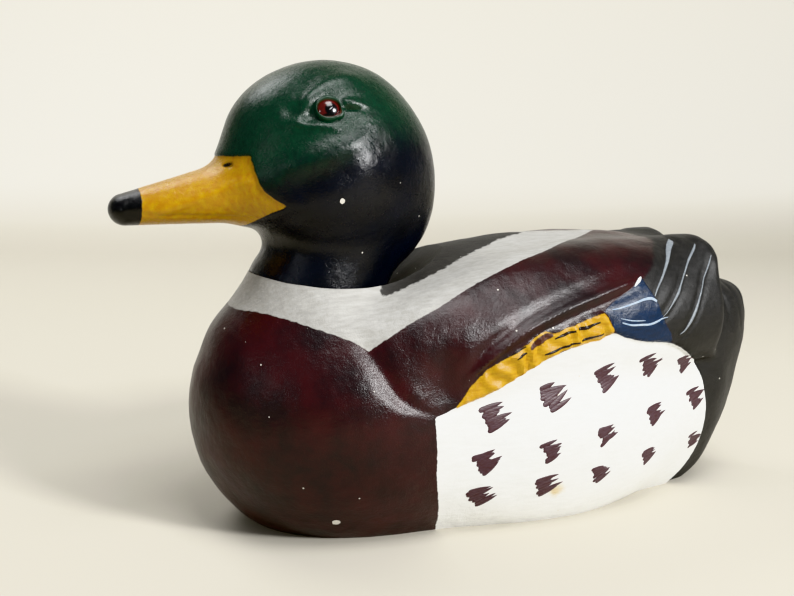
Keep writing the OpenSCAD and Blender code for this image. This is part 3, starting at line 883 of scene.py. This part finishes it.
def head_material(paint):
    """The head's coat: blue-black, the green over it, then the bill."""
    tone = {key: (*getattr(paint, key), 1.0) for key in paint.__annotations__}
    return painted_wood(
        "enamel_over_carved_wood_head", (tone["neck"], hex_colour("#0b0e17"), 0.26),
        (("green", tone["head"], hex_colour("#0a2418"), 0.27, 7.0, 4.0),
         ("bill", tone["bill"], hex_colour("#a06c11"), 0.28, 0.15, 0.35),
         ("nail", tone["nail"], hex_colour("#0b0b0c"), 0.25, 0.15, 0.4),
         ("nostril", tone["nail"], hex_colour("#0b0b0c"), 0.4, 0.12, 0.1), BARE),
        (((25.3, -43.1, 92.6), 0.62), ((-24.0, -50.0, 88.0), 0.5)),
        bristle=(1, 0.5, 0.5), grain=0.09)


# ---- geometry nodes: brushwork and screws ----

def geometry_tree(name, sockets):
    """A geometry tree with named inputs; its input and output nodes are ready to join."""
    tree = bpy.data.node_groups.new(name, "GeometryNodeTree")
    face = tree.interface
    face.new_socket("Geometry", in_out="INPUT", socket_type="NodeSocketGeometry")
    for key, kind, value in sockets:
        socket = face.new_socket(key, in_out="INPUT", socket_type="NodeSocket" + kind)
        if value is not None:
            socket.default_value = value
    face.new_socket("Geometry", in_out="OUTPUT", socket_type="NodeSocketGeometry")
    return tree, tree.nodes.new("NodeGroupInput"), tree.nodes.new("NodeGroupOutput")


def grow(piece, tree, **values):
    """Runs a geometry tree on a piece and keeps the result as its plain mesh."""
    modifier = piece.modifiers.new(tree.name, "NODES")
    modifier.node_group = tree
    for item in tree.interface.items_tree:
        if item.item_type == "SOCKET" and item.name.replace(" ", "_") in values:
            modifier[item.identifier] = values[item.name.replace(" ", "_")]
    mesh = evaluated(piece)
    bm = bmesh.new()
    bm.from_mesh(mesh)
    bmesh.ops.remove_doubles(bm, verts=bm.verts, dist=2e-6)
    bmesh.ops.dissolve_degenerate(bm, edges=bm.edges, dist=2e-6)
    bmesh.ops.recalc_face_normals(bm, faces=bm.faces)
    bm.to_mesh(mesh)
    bm.free()
    mesh.shade_smooth()
    return piece


def lay_on_skin(tree, lines, width, given, out):
    """Turns lines drawn in side view into raised ribbons of paint that lie on the skin."""
    def keep(geometry, field, kind="VECTOR"):
        """Stores a field on geometry; returns the geometry and the stored values."""
        node = add(tree, "GeometryNodeCaptureAttribute", {0: geometry})
        node.capture_items.new(kind, "kept")
        tree.links.new(field, node.inputs[1])
        return node.outputs[0], node.outputs[1]

    lines = add(tree, "GeometryNodeResampleCurve", {0: lines, "Length": 0.35 * MM},
                mode="LENGTH")
    lines, middle = keep(lines.outputs[0], tree.nodes.new("GeometryNodeInputPosition").outputs[0])
    lines, tangent = keep(lines, tree.nodes.new("GeometryNodeInputTangent").outputs[0])
    lines, wide = keep(lines, width, "FLOAT")
    ring = add(tree, "GeometryNodeCurvePrimitiveCircle", {"Resolution": 8, "Radius": 1.0})
    ring, round_ring = keep(ring.outputs[0],
                            tree.nodes.new("GeometryNodeInputPosition").outputs[0])
    ribbon = add(tree, "GeometryNodeCurveToMesh", {"Curve": lines, "Profile Curve": ring,
                                                   "Fill Caps": True})
    across = add(tree, "ShaderNodeVectorMath", {0: tangent, 1: (1, 0, 0)},
                 operation="CROSS_PRODUCT")
    split = add(tree, "ShaderNodeSeparateXYZ", {0: round_ring})
    reach = add(tree, "ShaderNodeMath", {0: split.outputs["Y"], 1: wide}, operation="MULTIPLY")
    aside = add(tree, "ShaderNodeVectorMath", {0: across, "Scale": reach}, operation="SCALE")
    flat = add(tree, "ShaderNodeVectorMath", {0: middle, 1: aside})
    side = add(tree, "ShaderNodeSeparateXYZ", {0: middle})
    inward = add(tree, "ShaderNodeMath", {0: side.outputs["X"], 1: -1.0}, operation="MULTIPLY")
    inward = add(tree, "ShaderNodeCombineXYZ", {"X": inward})
    body = add(tree, "GeometryNodeObjectInfo", {0: given.outputs["Body"]})
    struck = add(tree, "GeometryNodeRaycast", {
        "Target Geometry": body.outputs["Geometry"], "Source Position": flat,
        "Ray Direction": inward, "Ray Length": 0.1})
    thin = add(tree, "ShaderNodeMath", {0: wide, 1: 2.2}, operation="MULTIPLY")
    thin = add(tree, "ShaderNodeMath", {0: thin, 1: given.outputs["Thickness"]},
               operation="MINIMUM")
    proud = add(tree, "ShaderNodeMath", {0: split.outputs["X"], 1: thin}, operation="MULTIPLY")
    lift = add(tree, "ShaderNodeVectorMath", {0: struck.outputs["Hit Normal"], "Scale": proud},
               operation="SCALE")
    place = add(tree, "ShaderNodeVectorMath", {0: struck.outputs["Hit Position"], 1: lift})
    laid = add(tree, "GeometryNodeSetPosition", {"Geometry": ribbon, "Position": place})
    real = add(tree, "GeometryNodeRealizeInstances", {0: laid})
    done = add(tree, "GeometryNodeSetMaterial", {0: real,
                                                 "Material": given.outputs["Finish"]})
    tree.links.new(done.outputs[0], out.inputs[0])


# Screws: name, node, heads, head radius, shank radius, length, turn about X in degrees
SCREWS = (("brass_board_screws", "board_screws",
           ((0, -56.4, 0), (0, 45, 0), (-13.7, -31.8, 0), (13.7, -31.8, 0), (-14, -9, 0),
            (14, -9, 0), (-14, 13, 0), (14, 13, 0)), 2.0, 0.9, 16, 0),
          ("brass_ballast_screws", "ballast_screws", ((0, -7, 17), (0, 23, 17)),
           2.2, 1.0, 12.8, 180),
          ("brass_tie_screws", "tie_screws", ((-5.5, -46.5, 4.5), (5.5, -46.5, 4.5)),
           1.4, 0.7, 4.5, 0))


def stroke_tree():
    """Strokes along drawn lines, each as wide as its own points say."""
    tree, given, out = geometry_tree("brush_strokes", (
        ("Body", "Object", None), ("Thickness", "Float", 0.1 * MM), ("Finish", "Material", None)))
    lines = add(tree, "GeometryNodeMeshToCurve", {0: given.outputs["Geometry"]})
    lines = add(tree, "GeometryNodeCurveSplineType", {0: lines}, spline_type="CATMULL_ROM")
    width = add(tree, "GeometryNodeInputNamedAttribute", {"Name": "width"}, data_type="FLOAT")
    lay_on_skin(tree, lines, width.outputs[0], given, out)
    return tree


def dab_tree():
    """Dabs of a split brush: bristle marks that start blunt in a row and end in points."""
    tree, given, out = geometry_tree("split_brush_dabs", (
        ("Body", "Object", None), ("Thickness", "Float", 0.1 * MM),
        ("Bristles", "Int", 8), ("Length", "Float", 6.9 * MM), ("Width", "Float", 0.72 * MM),
        ("Spread", "Float", 5.8 * MM), ("Lean", "Float", math.radians(22)),
        ("Fan", "Float", math.radians(20)), ("Seed", "Int", 4), ("Finish", "Material", None)))
    copies = add(tree, "GeometryNodeDuplicateElements", {
        "Geometry": given.outputs["Geometry"], "Amount": given.outputs["Bristles"]},
        domain="POINT")
    size = add(tree, "GeometryNodeInputNamedAttribute", {"Name": "width"}, data_type="FLOAT")
    size = size.outputs[0]
    last = add(tree, "ShaderNodeMath", {0: given.outputs["Bristles"], 1: 1.0},
               operation="SUBTRACT")
    rank = add(tree, "ShaderNodeMath", {0: copies.outputs["Duplicate Index"], 1: last},
               operation="DIVIDE")
    rank = add(tree, "ShaderNodeMath", {0: rank, 1: 0.5}, operation="SUBTRACT")

    def chance(low, high, step):
        """A random value for each mark; step keeps one draw apart from the next."""
        seed = add(tree, "ShaderNodeMath", {0: given.outputs["Seed"], 1: step})
        return add(tree, "FunctionNodeRandomValue", {2: low, 3: high, "Seed": seed},
                   data_type="FLOAT").outputs[1]

    row = add(tree, "ShaderNodeMath", {0: rank, 1: given.outputs["Spread"]},
              operation="MULTIPLY")
    row = add(tree, "ShaderNodeMath", {0: row, 1: size}, operation="MULTIPLY")
    slip = add(tree, "ShaderNodeMath", {0: chance(-0.9 * MM, 0.9 * MM, 1), 1: size},
               operation="MULTIPLY")
    back = add(tree, "ShaderNodeMath", {0: row, 1: 0.45, 2: slip}, operation="MULTIPLY_ADD")
    down = add(tree, "ShaderNodeMath", {0: row, 1: -0.9}, operation="MULTIPLY")
    start = add(tree, "ShaderNodeCombineXYZ", {"Y": back, "Z": down})
    roots = add(tree, "GeometryNodeSetPosition", {"Geometry": copies.outputs[0],
                                                  "Offset": start})
    mark = add(tree, "GeometryNodeCurvePrimitiveLine", {"Start": (0, 0, 0), "End": (0, 1, 0)})
    mark = add(tree, "GeometryNodeResampleCurve", {0: mark, "Count": 24})
    angle = add(tree, "ShaderNodeMath", {0: rank, 1: given.outputs["Fan"],
                                         2: given.outputs["Lean"]}, operation="MULTIPLY_ADD")
    angle = add(tree, "ShaderNodeMath", {0: angle, 1: chance(-0.16, 0.16, 2)})
    turn = add(tree, "ShaderNodeCombineXYZ", {"X": angle})
    long = add(tree, "ShaderNodeMath", {0: given.outputs["Length"], 1: size},
               operation="MULTIPLY")
    long = add(tree, "ShaderNodeMath", {0: long, 1: chance(0.62, 1.12, 3)},
               operation="MULTIPLY")
    marks = add(tree, "GeometryNodeInstanceOnPoints", {
        "Points": roots, "Instance": mark, "Rotation": turn, "Scale": long})
    lines = add(tree, "GeometryNodeRealizeInstances", {0: marks})
    reach = tree.nodes.new("GeometryNodeSplineParameter").outputs["Factor"]
    taper_off = add(tree, "ShaderNodeFloatCurve", {"Value": reach})
    points = taper_off.mapping.curves[0].points
    points[0].location, points[1].location = (0.0, 0.35), (1.0, 0.02)
    for at in ((0.05, 0.8), (0.18, 1.0), (0.5, 0.95), (0.78, 0.6)):
        points.new(*at)
    taper_off.mapping.update()
    wide = add(tree, "ShaderNodeMath", {0: taper_off, 1: given.outputs["Width"]},
               operation="MULTIPLY")
    wide = add(tree, "ShaderNodeMath", {0: wide, 1: size}, operation="MULTIPLY")
    lay_on_skin(tree, lines, wide.outputs[0], given, out)
    return tree


def screw_tree():
    """A slotted countersunk wood screw on every point, its head at the point, shank up."""
    tree, given, out = geometry_tree("wood_screws", (
        ("Head Radius", "Float", 2 * MM), ("Shank Radius", "Float", 0.9 * MM),
        ("Length", "Float", 16 * MM), ("Turn", "Vector", (0, 0, 0)),
        ("Finish", "Material", None)))
    head_r, shank_r = given.outputs["Head Radius"], given.outputs["Shank Radius"]
    total = given.outputs["Length"]

    def sum_of(a, b, operation="ADD"):
        """Two lengths added, or joined by another operation."""
        return add(tree, "ShaderNodeMath", {0: a, 1: b}, operation=operation).outputs[0]

    def raised(mesh, height):
        """A part of the screw moved up its axis."""
        up = add(tree, "ShaderNodeCombineXYZ", {"Z": height})
        return add(tree, "GeometryNodeTransform", {0: mesh, "Translation": up}).outputs[0]

    core_r = sum_of(shank_r, 0.72, "MULTIPLY")
    head_h = sum_of(head_r, shank_r, "SUBTRACT")
    tip_h = sum_of(shank_r, 2.5, "MULTIPLY")
    straight = sum_of(total, tip_h, "SUBTRACT")
    head = add(tree, "GeometryNodeMeshCone", {"Vertices": 48, "Radius Bottom": head_r,
                                              "Radius Top": shank_r, "Depth": head_h})
    core = add(tree, "GeometryNodeMeshCone", {"Vertices": 32, "Radius Bottom": core_r,
                                              "Radius Top": core_r, "Depth": straight})
    tip = add(tree, "GeometryNodeMeshCone", {"Vertices": 32, "Radius Bottom": core_r,
                                             "Radius Top": 0.05 * MM, "Depth": tip_h})
    plain_h = sum_of(total, 0.32, "MULTIPLY")
    plain = add(tree, "GeometryNodeMeshCone", {"Vertices": 32, "Radius Bottom": shank_r,
                                               "Radius Top": shank_r, "Depth": plain_h})
    solid = add(tree, "GeometryNodeMeshBoolean", {"Mesh 2": head}, operation="UNION",
                solver="MANIFOLD")
    for mesh in (raised(core, 0.01 * MM), raised(tip, straight), raised(plain, 0.01 * MM)):
        tree.links.new(mesh, solid.inputs["Mesh 2"])
    wide = sum_of(head_r, 2.4, "MULTIPLY")
    slot = add(tree, "ShaderNodeCombineXYZ", {"X": wide, "Y": 0.5 * MM, "Z": 1.0 * MM})
    slot = add(tree, "GeometryNodeMeshCube", {"Size": slot})
    solid = add(tree, "GeometryNodeMeshBoolean", {"Mesh 1": solid, "Mesh 2": slot},
                operation="DIFFERENCE", solver="MANIFOLD")
    # the thread: a thin ridge wound on the core below the plain shank
    rise = sum_of(straight, plain_h, "SUBTRACT")
    turns = sum_of(rise, 0.9 * MM, "DIVIDE")
    helix = add(tree, "GeometryNodeCurveSpiral", {
        "Resolution": 20, "Rotations": turns, "Start Radius": core_r, "End Radius": core_r,
        "Height": rise})
    ridge = add(tree, "GeometryNodeCurvePrimitiveCircle", {"Resolution": 4})
    tree.links.new(sum_of(sum_of(shank_r, core_r, "SUBTRACT"), 0.95, "MULTIPLY"),
                   ridge.inputs["Radius"])
    thread = add(tree, "GeometryNodeCurveToMesh", {"Curve": helix, "Profile Curve": ridge,
                                                   "Fill Caps": True})
    screw = add(tree, "GeometryNodeJoinGeometry", {0: solid})
    tree.links.new(raised(thread, plain_h), screw.inputs[0])
    points = add(tree, "GeometryNodeMeshToPoints", {0: given.outputs["Geometry"]})
    each = add(tree, "FunctionNodeRandomValue", {2: 0.0, 3: math.pi, "Seed": 5},
               data_type="FLOAT").outputs[1]
    spin = add(tree, "ShaderNodeCombineXYZ", {"Z": each})
    facing = add(tree, "ShaderNodeVectorMath", {0: spin, 1: given.outputs["Turn"]})
    placed = add(tree, "GeometryNodeInstanceOnPoints", {"Points": points, "Instance": screw,
                                                        "Rotation": facing})
    real = add(tree, "GeometryNodeRealizeInstances", {0: placed})
    done = add(tree, "GeometryNodeSetMaterial", {0: real,
                                                 "Material": given.outputs["Finish"]})
    tree.links.new(done.outputs[0], out.inputs[0])
    return tree


def drawn(name, strokes, off=60.0):
    """A mesh of lines in side view on both sides; each point is (y, z, width)."""
    points, edges, widths = [], [], []
    for sign in (1, -1):
        for stroke in strokes:
            first = len(points)
            points += [(sign * off * MM, y * MM, z * MM) for y, z, _ in stroke]
            widths += [w for _, _, w in stroke]
            edges += [(first + i, first + i + 1) for i in range(len(stroke) - 1)]
    mesh = bpy.data.meshes.new(name)
    mesh.from_pydata(points, edges, [])
    mesh.attributes.new("width", "FLOAT", "POINT").data.foreach_set("value", widths)
    return put(name, mesh)


# ---- settings a user would change ----

def colour(name, description, text):
    """A colour setting with its default as an sRGB hex value."""
    return bpy.props.FloatVectorProperty(name=name, description=description, subtype="COLOR",
                                         size=3, min=0, max=1, default=hex_colour(text)[:3])


def length(name, description, millimetres, low=0.0):
    """A length setting with its default and lowest value in millimetres."""
    return bpy.props.FloatProperty(name=name, description=description, unit="LENGTH",
                                   subtype="DISTANCE", precision=5, min=low * MM,
                                   default=millimetres * MM)


class DecoyPaint(bpy.types.PropertyGroup):
    breast: colour("Breast", "Brown of the breast", "#1d1214")
    wing: colour("Wing", "Redder brown of the shoulders", "#331517")
    stern: colour("Stern", "Black of the wing tips and tail", "#161615")
    stripe: colour("Stripe", "Off-white of the collar and wing stripes", "#b0afab")
    back: colour("Back", "Charcoal between the stripes", "#282725")
    flank: colour("Flank", "White of the flanks", "#f4f5f5")
    gold: colour("Gold", "Yellow along the wing's lower edge", "#c49d24")
    blue: colour("Blue", "Blue of the wing patch", "#0d2848")
    head: colour("Head", "Green of the crown", "#123322")
    neck: colour("Neck", "Blue-black of the neck and lower cheek", "#07080c")
    bill: colour("Bill", "Ochre of the bill", "#b08c17")
    bars: colour("Flank Dabs", "Purple-brown of the dabs on the flanks", "#4a353d")
    feather: colour("Feather Strokes", "Grey-blue of the strokes on the wing tips", "#747a80")
    streak: colour("Patch Streaks", "Pale blue of the streaks in the wing patch", "#b4c0cc")
    iris: colour("Iris", "Red of the eyes", "#5c1f1c")
    nail: colour("Nail", "Black of the bill's tip and nostrils", "#060606")


class DecoySizes(bpy.types.PropertyGroup):
    body_step: length("Body Step", "Spacing of the body's mesh", 0.8, 0.5)
    head_step: length("Head Step", "Spacing of the head's mesh", 0.55, 0.4)
    knife_body: length("Knife Marks, Body", "Depth of the unevenness left on the body", 0.35)
    knife_head: length("Knife Marks, Head", "Depth of the unevenness left on the head", 0.18)
    brush: length("Brush Thickness", "How far the dabs stand proud of the coat", 0.12)


# ---- pieces ----

class DECOY_OT_body(bpy.types.Operator):
    """Carve, hollow and paint the body block"""
    bl_idname = "decoy.body"
    bl_label = "Body"

    def execute(self, context):
        sizes = context.scene.decoy_sizes
        mesh = skin("painted_body", body_form, body_relief, (-44, -84, -12), (44, 104, 84),
                    sizes.body_step / MM, sizes.knife_body / MM, 0.05)
        body = put(mesh.name, mesh, (body_material(context.scene.decoy_paint),))
        neck = to_neck()
        cut(body, [cone(-60, 0, 90, 90), stadium(-41, 34, 18, -2, BOARD_T),
                   cone(BOARD_T - 1, 44.5, 13, 13, Matrix.Translation((0, -41 * MM, 0))),
                   *(cone(BOARD_T - 1, top, 15, 15, Matrix.Translation((0, y * MM, 0)))
                     for y, top in ((-20, 56), (2, 62), (24, 62))),
                   cone(0, 30, SEAT_R + 0.4, SEAT_R + 24.4, neck),
                   cone(SEAT_GAP - 1.2, 2, 13.1, 13.1, neck),
                   cone(-BEARING_DEPTH - 1, 1, 4.05, 4.05, neck, 64),
                   cone(-BEARING_DEPTH - 9, -BEARING_DEPTH, 6.2, 6.2, neck, 64)])
        write_paint(body.data, body_paint)
        settle_in(body, "hull", "painted_body", "body_block")
        return {"FINISHED"}


class DECOY_OT_head(bpy.types.Operator):
    """Carve and paint the head, with its sockets for the eyes and the dowel"""
    bl_idname = "decoy.head"
    bl_label = "Head"

    def execute(self, context):
        sizes = context.scene.decoy_sizes
        mesh = skin("painted_head", head_form, head_relief, (-30, -104, 58), (30, -4, 134),
                    sizes.head_step / MM, sizes.knife_head / MM, 0.04, 3.0)
        head = put(mesh.name, mesh, (head_material(context.scene.decoy_paint),))
        neck = to_neck()
        tools = [cone(-40, SEAT_GAP, 60, 60, neck), cone(-2, 24.3, 4, 4, neck, 64)]
        for side in (-1, 1):
            tools += [cone(-3, 5, EYE_R, EYE_R, to_eye(side), 48),
                      cone(-1, 5, EYE_R + 0.4, EYE_R + 0.4, to_eye(side), 48)]
        cut(head, tools)
        write_paint(head.data, head_paint)
        settle_in(head, "head", "painted_head", "head_block")
        return {"FINISHED"}


class DECOY_OT_brushwork(bpy.types.Operator):
    """Lay the dabs on the flanks and the strokes and dashes on the wings"""
    bl_idname = "decoy.brushwork"
    bl_label = "Brushwork"

    def execute(self, context):
        paint = context.scene.decoy_paint
        body = bpy.data.objects["painted_body"]
        thick = context.scene.decoy_sizes.brush
        dabs = drawn("flank_dabs", [[dab] for dab in DABS])
        grow(dabs, dab_tree(), Body=body, Thickness=thick,
             Finish=brushed_enamel("enamel_dabs", paint.bars, "#402326"))
        tree = stroke_tree()
        pieces = [dabs]
        for name, strokes, load, tone, second in (
                ("feather_strokes", FEATHERS, 0.62, paint.feather, "#8b9298"),
                ("gold_dashes", DASHES, 0.95, paint.nail, "#2a1712"),
                ("patch_streaks", STREAKS, 0.7, paint.streak, "#7f98b4"),
                ("patch_tips", TIPS, 0.9, paint.flank, "#dfe3e6")):
            lines = drawn(name, [[(y, z, load * w * MM) for y, z, w in line]
                                 for line in strokes])
            pieces.append(grow(lines, tree, Body=body, Thickness=0.8 * thick,
                               Finish=brushed_enamel("enamel_" + name, tone, second)))
        for piece in pieces:
            settle_in(piece, "hull", "painted_body")
        return {"FINISHED"}


class DECOY_OT_fittings(bpy.types.Operator):
    """Drive the screws and finish the board, ballast, line tie and neck fittings"""
    bl_idname = "decoy.fittings"
    bl_label = "Fittings"

    def execute(self, context):
        metal = brass("handled_brass")
        tree = screw_tree()
        for name, node, places, head, shank, long, turn in SCREWS:
            mesh = bpy.data.meshes.new(name)
            mesh.from_pydata([tuple(v * MM for v in place) for place in places], [], [])
            screws = grow(put(name, mesh), tree, Head_Radius=head * MM, Shank_Radius=shank * MM,
                          Length=long * MM, Turn=(math.radians(turn), 0.0, 0.0), Finish=metal)
            screws.data.set_sharp_from_angle(angle=math.radians(30))
            settle_in(screws, "hull", "brass_hardware", node)
        pine = bare_wood("planed_pine", "#d3ad78", "#9a6f3e", 3.5, 1.2)
        beech = bare_wood("turned_beech", "#c59a68", "#9c7145", 1.6, 2.5)
        finishes = {"bottom_board": pine, "neck_dowel": beech, "ballast_weight": cast_lead(),
                    "seat_washer": leather(), "line_tie": metal, "line_ring": metal,
                    "retaining_washer": metal, "retaining_screw": metal}
        for name, finish in finishes.items():
            mesh = bpy.data.objects[name].data
            mesh.materials.clear()
            mesh.materials.append(finish)
        return {"FINISHED"}


class DECOY_OT_eyes(bpy.types.Operator):
    """Set the glass eyes and model the putty lids round them"""
    bl_idname = "decoy.eyes"
    bl_label = "Eyes"

    def execute(self, context):
        paint = context.scene.decoy_paint
        glass = eye_glass(paint.iris)
        putty = lid_putty(paint.head)
        for side, name in ((1, "left"), (-1, "right")):
            lens = put(name + "_glass_eye", eye_lens(side), (glass,))
            settle_in(lens, "head", "eye_glass", name + "_eye")
            lid = put(name + "_putty_lid", eye_lid(side), (putty,))
            settle_in(lid, "head", "lid_putty", name + "_eyelid")
        return {"FINISHED"}


class DECOY_OT_stage(bpy.types.Operator):
    """Set the pale floor, the soft lights and the camera"""
    bl_idname = "decoy.stage"
    bl_label = "Stage"

    def execute(self, context):
        bm = bmesh.new()
        # half width, radius of the bend and distance of the wall behind the decoy, in metres
        half, bend, back = 1.6, 0.25, 0.62
        profile = [(half, 0.0)] + [(-back - bend * math.sin(a), bend - bend * math.cos(a))
                                   for a in np.radians(np.linspace(0, 90, 25))]
        profile.append((-back - bend, 1.8))
        turn = Matrix.Rotation(math.radians(CAMERA_SIDE - 90), 3, "Z")
        rows = [[bm.verts.new(turn @ Vector((u, v, h))) for v in (-half, half)]
                for u, h in profile]
        for near, far in zip(rows, rows[1:]):
            bm.faces.new((near[0], near[1], far[1], far[0]))
        floor = put("floor", bpy.data.meshes.new("floor"))
        bm.to_mesh(floor.data)
        bm.free()
        floor.data.shade_smooth()
        material, tree, shader, mm = surface("pale_matt_board", Roughness=0.75)
        height = add(tree, "ShaderNodeSeparateXYZ", {0: mm})
        upright = add(tree, "ShaderNodeMapRange", {0: height.outputs["Z"], 1: 0.0, 2: 60.0},
                      interpolation_type="SMOOTHSTEP")
        board = add(tree, "ShaderNodeMix", {"Factor": upright, 6: hex_colour("#cdc8bb"),
                                            7: hex_colour("#ebe8df")}, data_type="RGBA")
        tree.links.new(board.outputs[2], shader.inputs["Base Color"])
        floor.data.materials.append(material)

        a, e = math.radians(CAMERA_SIDE), math.radians(CAMERA_RISE)
        behind = Vector((math.sin(a) * math.cos(e), -math.cos(a) * math.cos(e), math.sin(e)))
        target = Vector(CAMERA_TARGET) * MM
        data = bpy.data.cameras.new("camera")
        data.lens = HALF_SENSOR / math.tan(math.radians(HALF_VIEW))
        data.clip_start = 0.01
        camera = bpy.data.objects.new("camera", data)
        camera.location = target + CAMERA_BACK * behind
        camera.rotation_euler = (-behind).to_track_quat("-Z", "Y").to_euler()
        context.scene.collection.objects.link(camera)
        context.scene.camera = camera

        right, up = Vector((math.cos(a), math.sin(a), 0)), Vector((0, 0, 1))
        for name, offset, size, watts in (
                ("window", 0.58 * behind + 0.74 * right + 0.36 * up, 0.17, 11.5),
                ("ceiling", 0.30 * behind + 0.16 * right + 0.80 * up, 0.42, 5.0),
                ("wall_wash", -0.35 * behind - 0.45 * right + 0.75 * up, 0.40, 3.5),
                ("far_window", 0.72 * behind - 0.62 * right + 0.22 * up, 0.10, 0.6)):
            light = bpy.data.lights.new(name, "AREA")
            light.energy, light.size = watts, size
            lamp = bpy.data.objects.new(name, light)
            lamp.location = target + offset
            # the wall wash looks past the decoy at the wall behind it
            aim = offset if name != "wall_wash" else offset + 0.6 * behind + 0.3 * right
            lamp.rotation_euler = (-aim).to_track_quat("-Z", "Y").to_euler()
            context.scene.collection.objects.link(lamp)
        world = bpy.data.worlds.new("studio")
        world.use_nodes = True
        world.node_tree.nodes["Background"].inputs[0].default_value = hex_colour("#eff2f5")
        world.node_tree.nodes["Background"].inputs[1].default_value = 0.30
        context.scene.world = world
        context.scene.view_settings.view_transform = "Khronos PBR Neutral"
        return {"FINISHED"}


class DECOY_PT_panel(bpy.types.Panel):
    bl_label = "Duck Decoy"
    bl_idname = "DECOY_PT_panel"
    bl_space_type = "VIEW_3D"
    bl_region_type = "UI"
    bl_category = "Decoy"

    def draw(self, context):
        for operator in OPERATORS:
            self.layout.operator(operator.bl_idname)
        for group in (context.scene.decoy_sizes, context.scene.decoy_paint):
            column = self.layout.column()
            for key in group.__annotations__:
                column.prop(group, key)


# Camera: angles in degrees, distance in metres, target and half the sensor in millimetres
CAMERA_SIDE = 70
CAMERA_RISE = 9
CAMERA_BACK = 0.32
CAMERA_TARGET = (0, -19, 62)
HALF_VIEW = 20
HALF_SENSOR = 18
OPERATORS = (DECOY_OT_body, DECOY_OT_head, DECOY_OT_brushwork, DECOY_OT_eyes,
             DECOY_OT_fittings, DECOY_OT_stage)
GROUPS = (DecoyPaint, DecoySizes)


def register():
    for cls in (*GROUPS, *OPERATORS, DECOY_PT_panel):
        bpy.utils.register_class(cls)
    bpy.types.Scene.decoy_paint = bpy.props.PointerProperty(type=DecoyPaint)
    bpy.types.Scene.decoy_sizes = bpy.props.PointerProperty(type=DecoySizes)


def unregister():
    del bpy.types.Scene.decoy_sizes
    del bpy.types.Scene.decoy_paint
    for cls in reversed((*GROUPS, *OPERATORS, DECOY_PT_panel)):
        bpy.utils.unregister_class(cls)


def main():
    register()
    bpy.ops.decoy.body()
    bpy.ops.decoy.head()
    bpy.ops.decoy.brushwork()
    bpy.ops.decoy.eyes()
    bpy.ops.decoy.fittings()
    bpy.ops.decoy.stage()


if __name__ == "__main__":
    main()
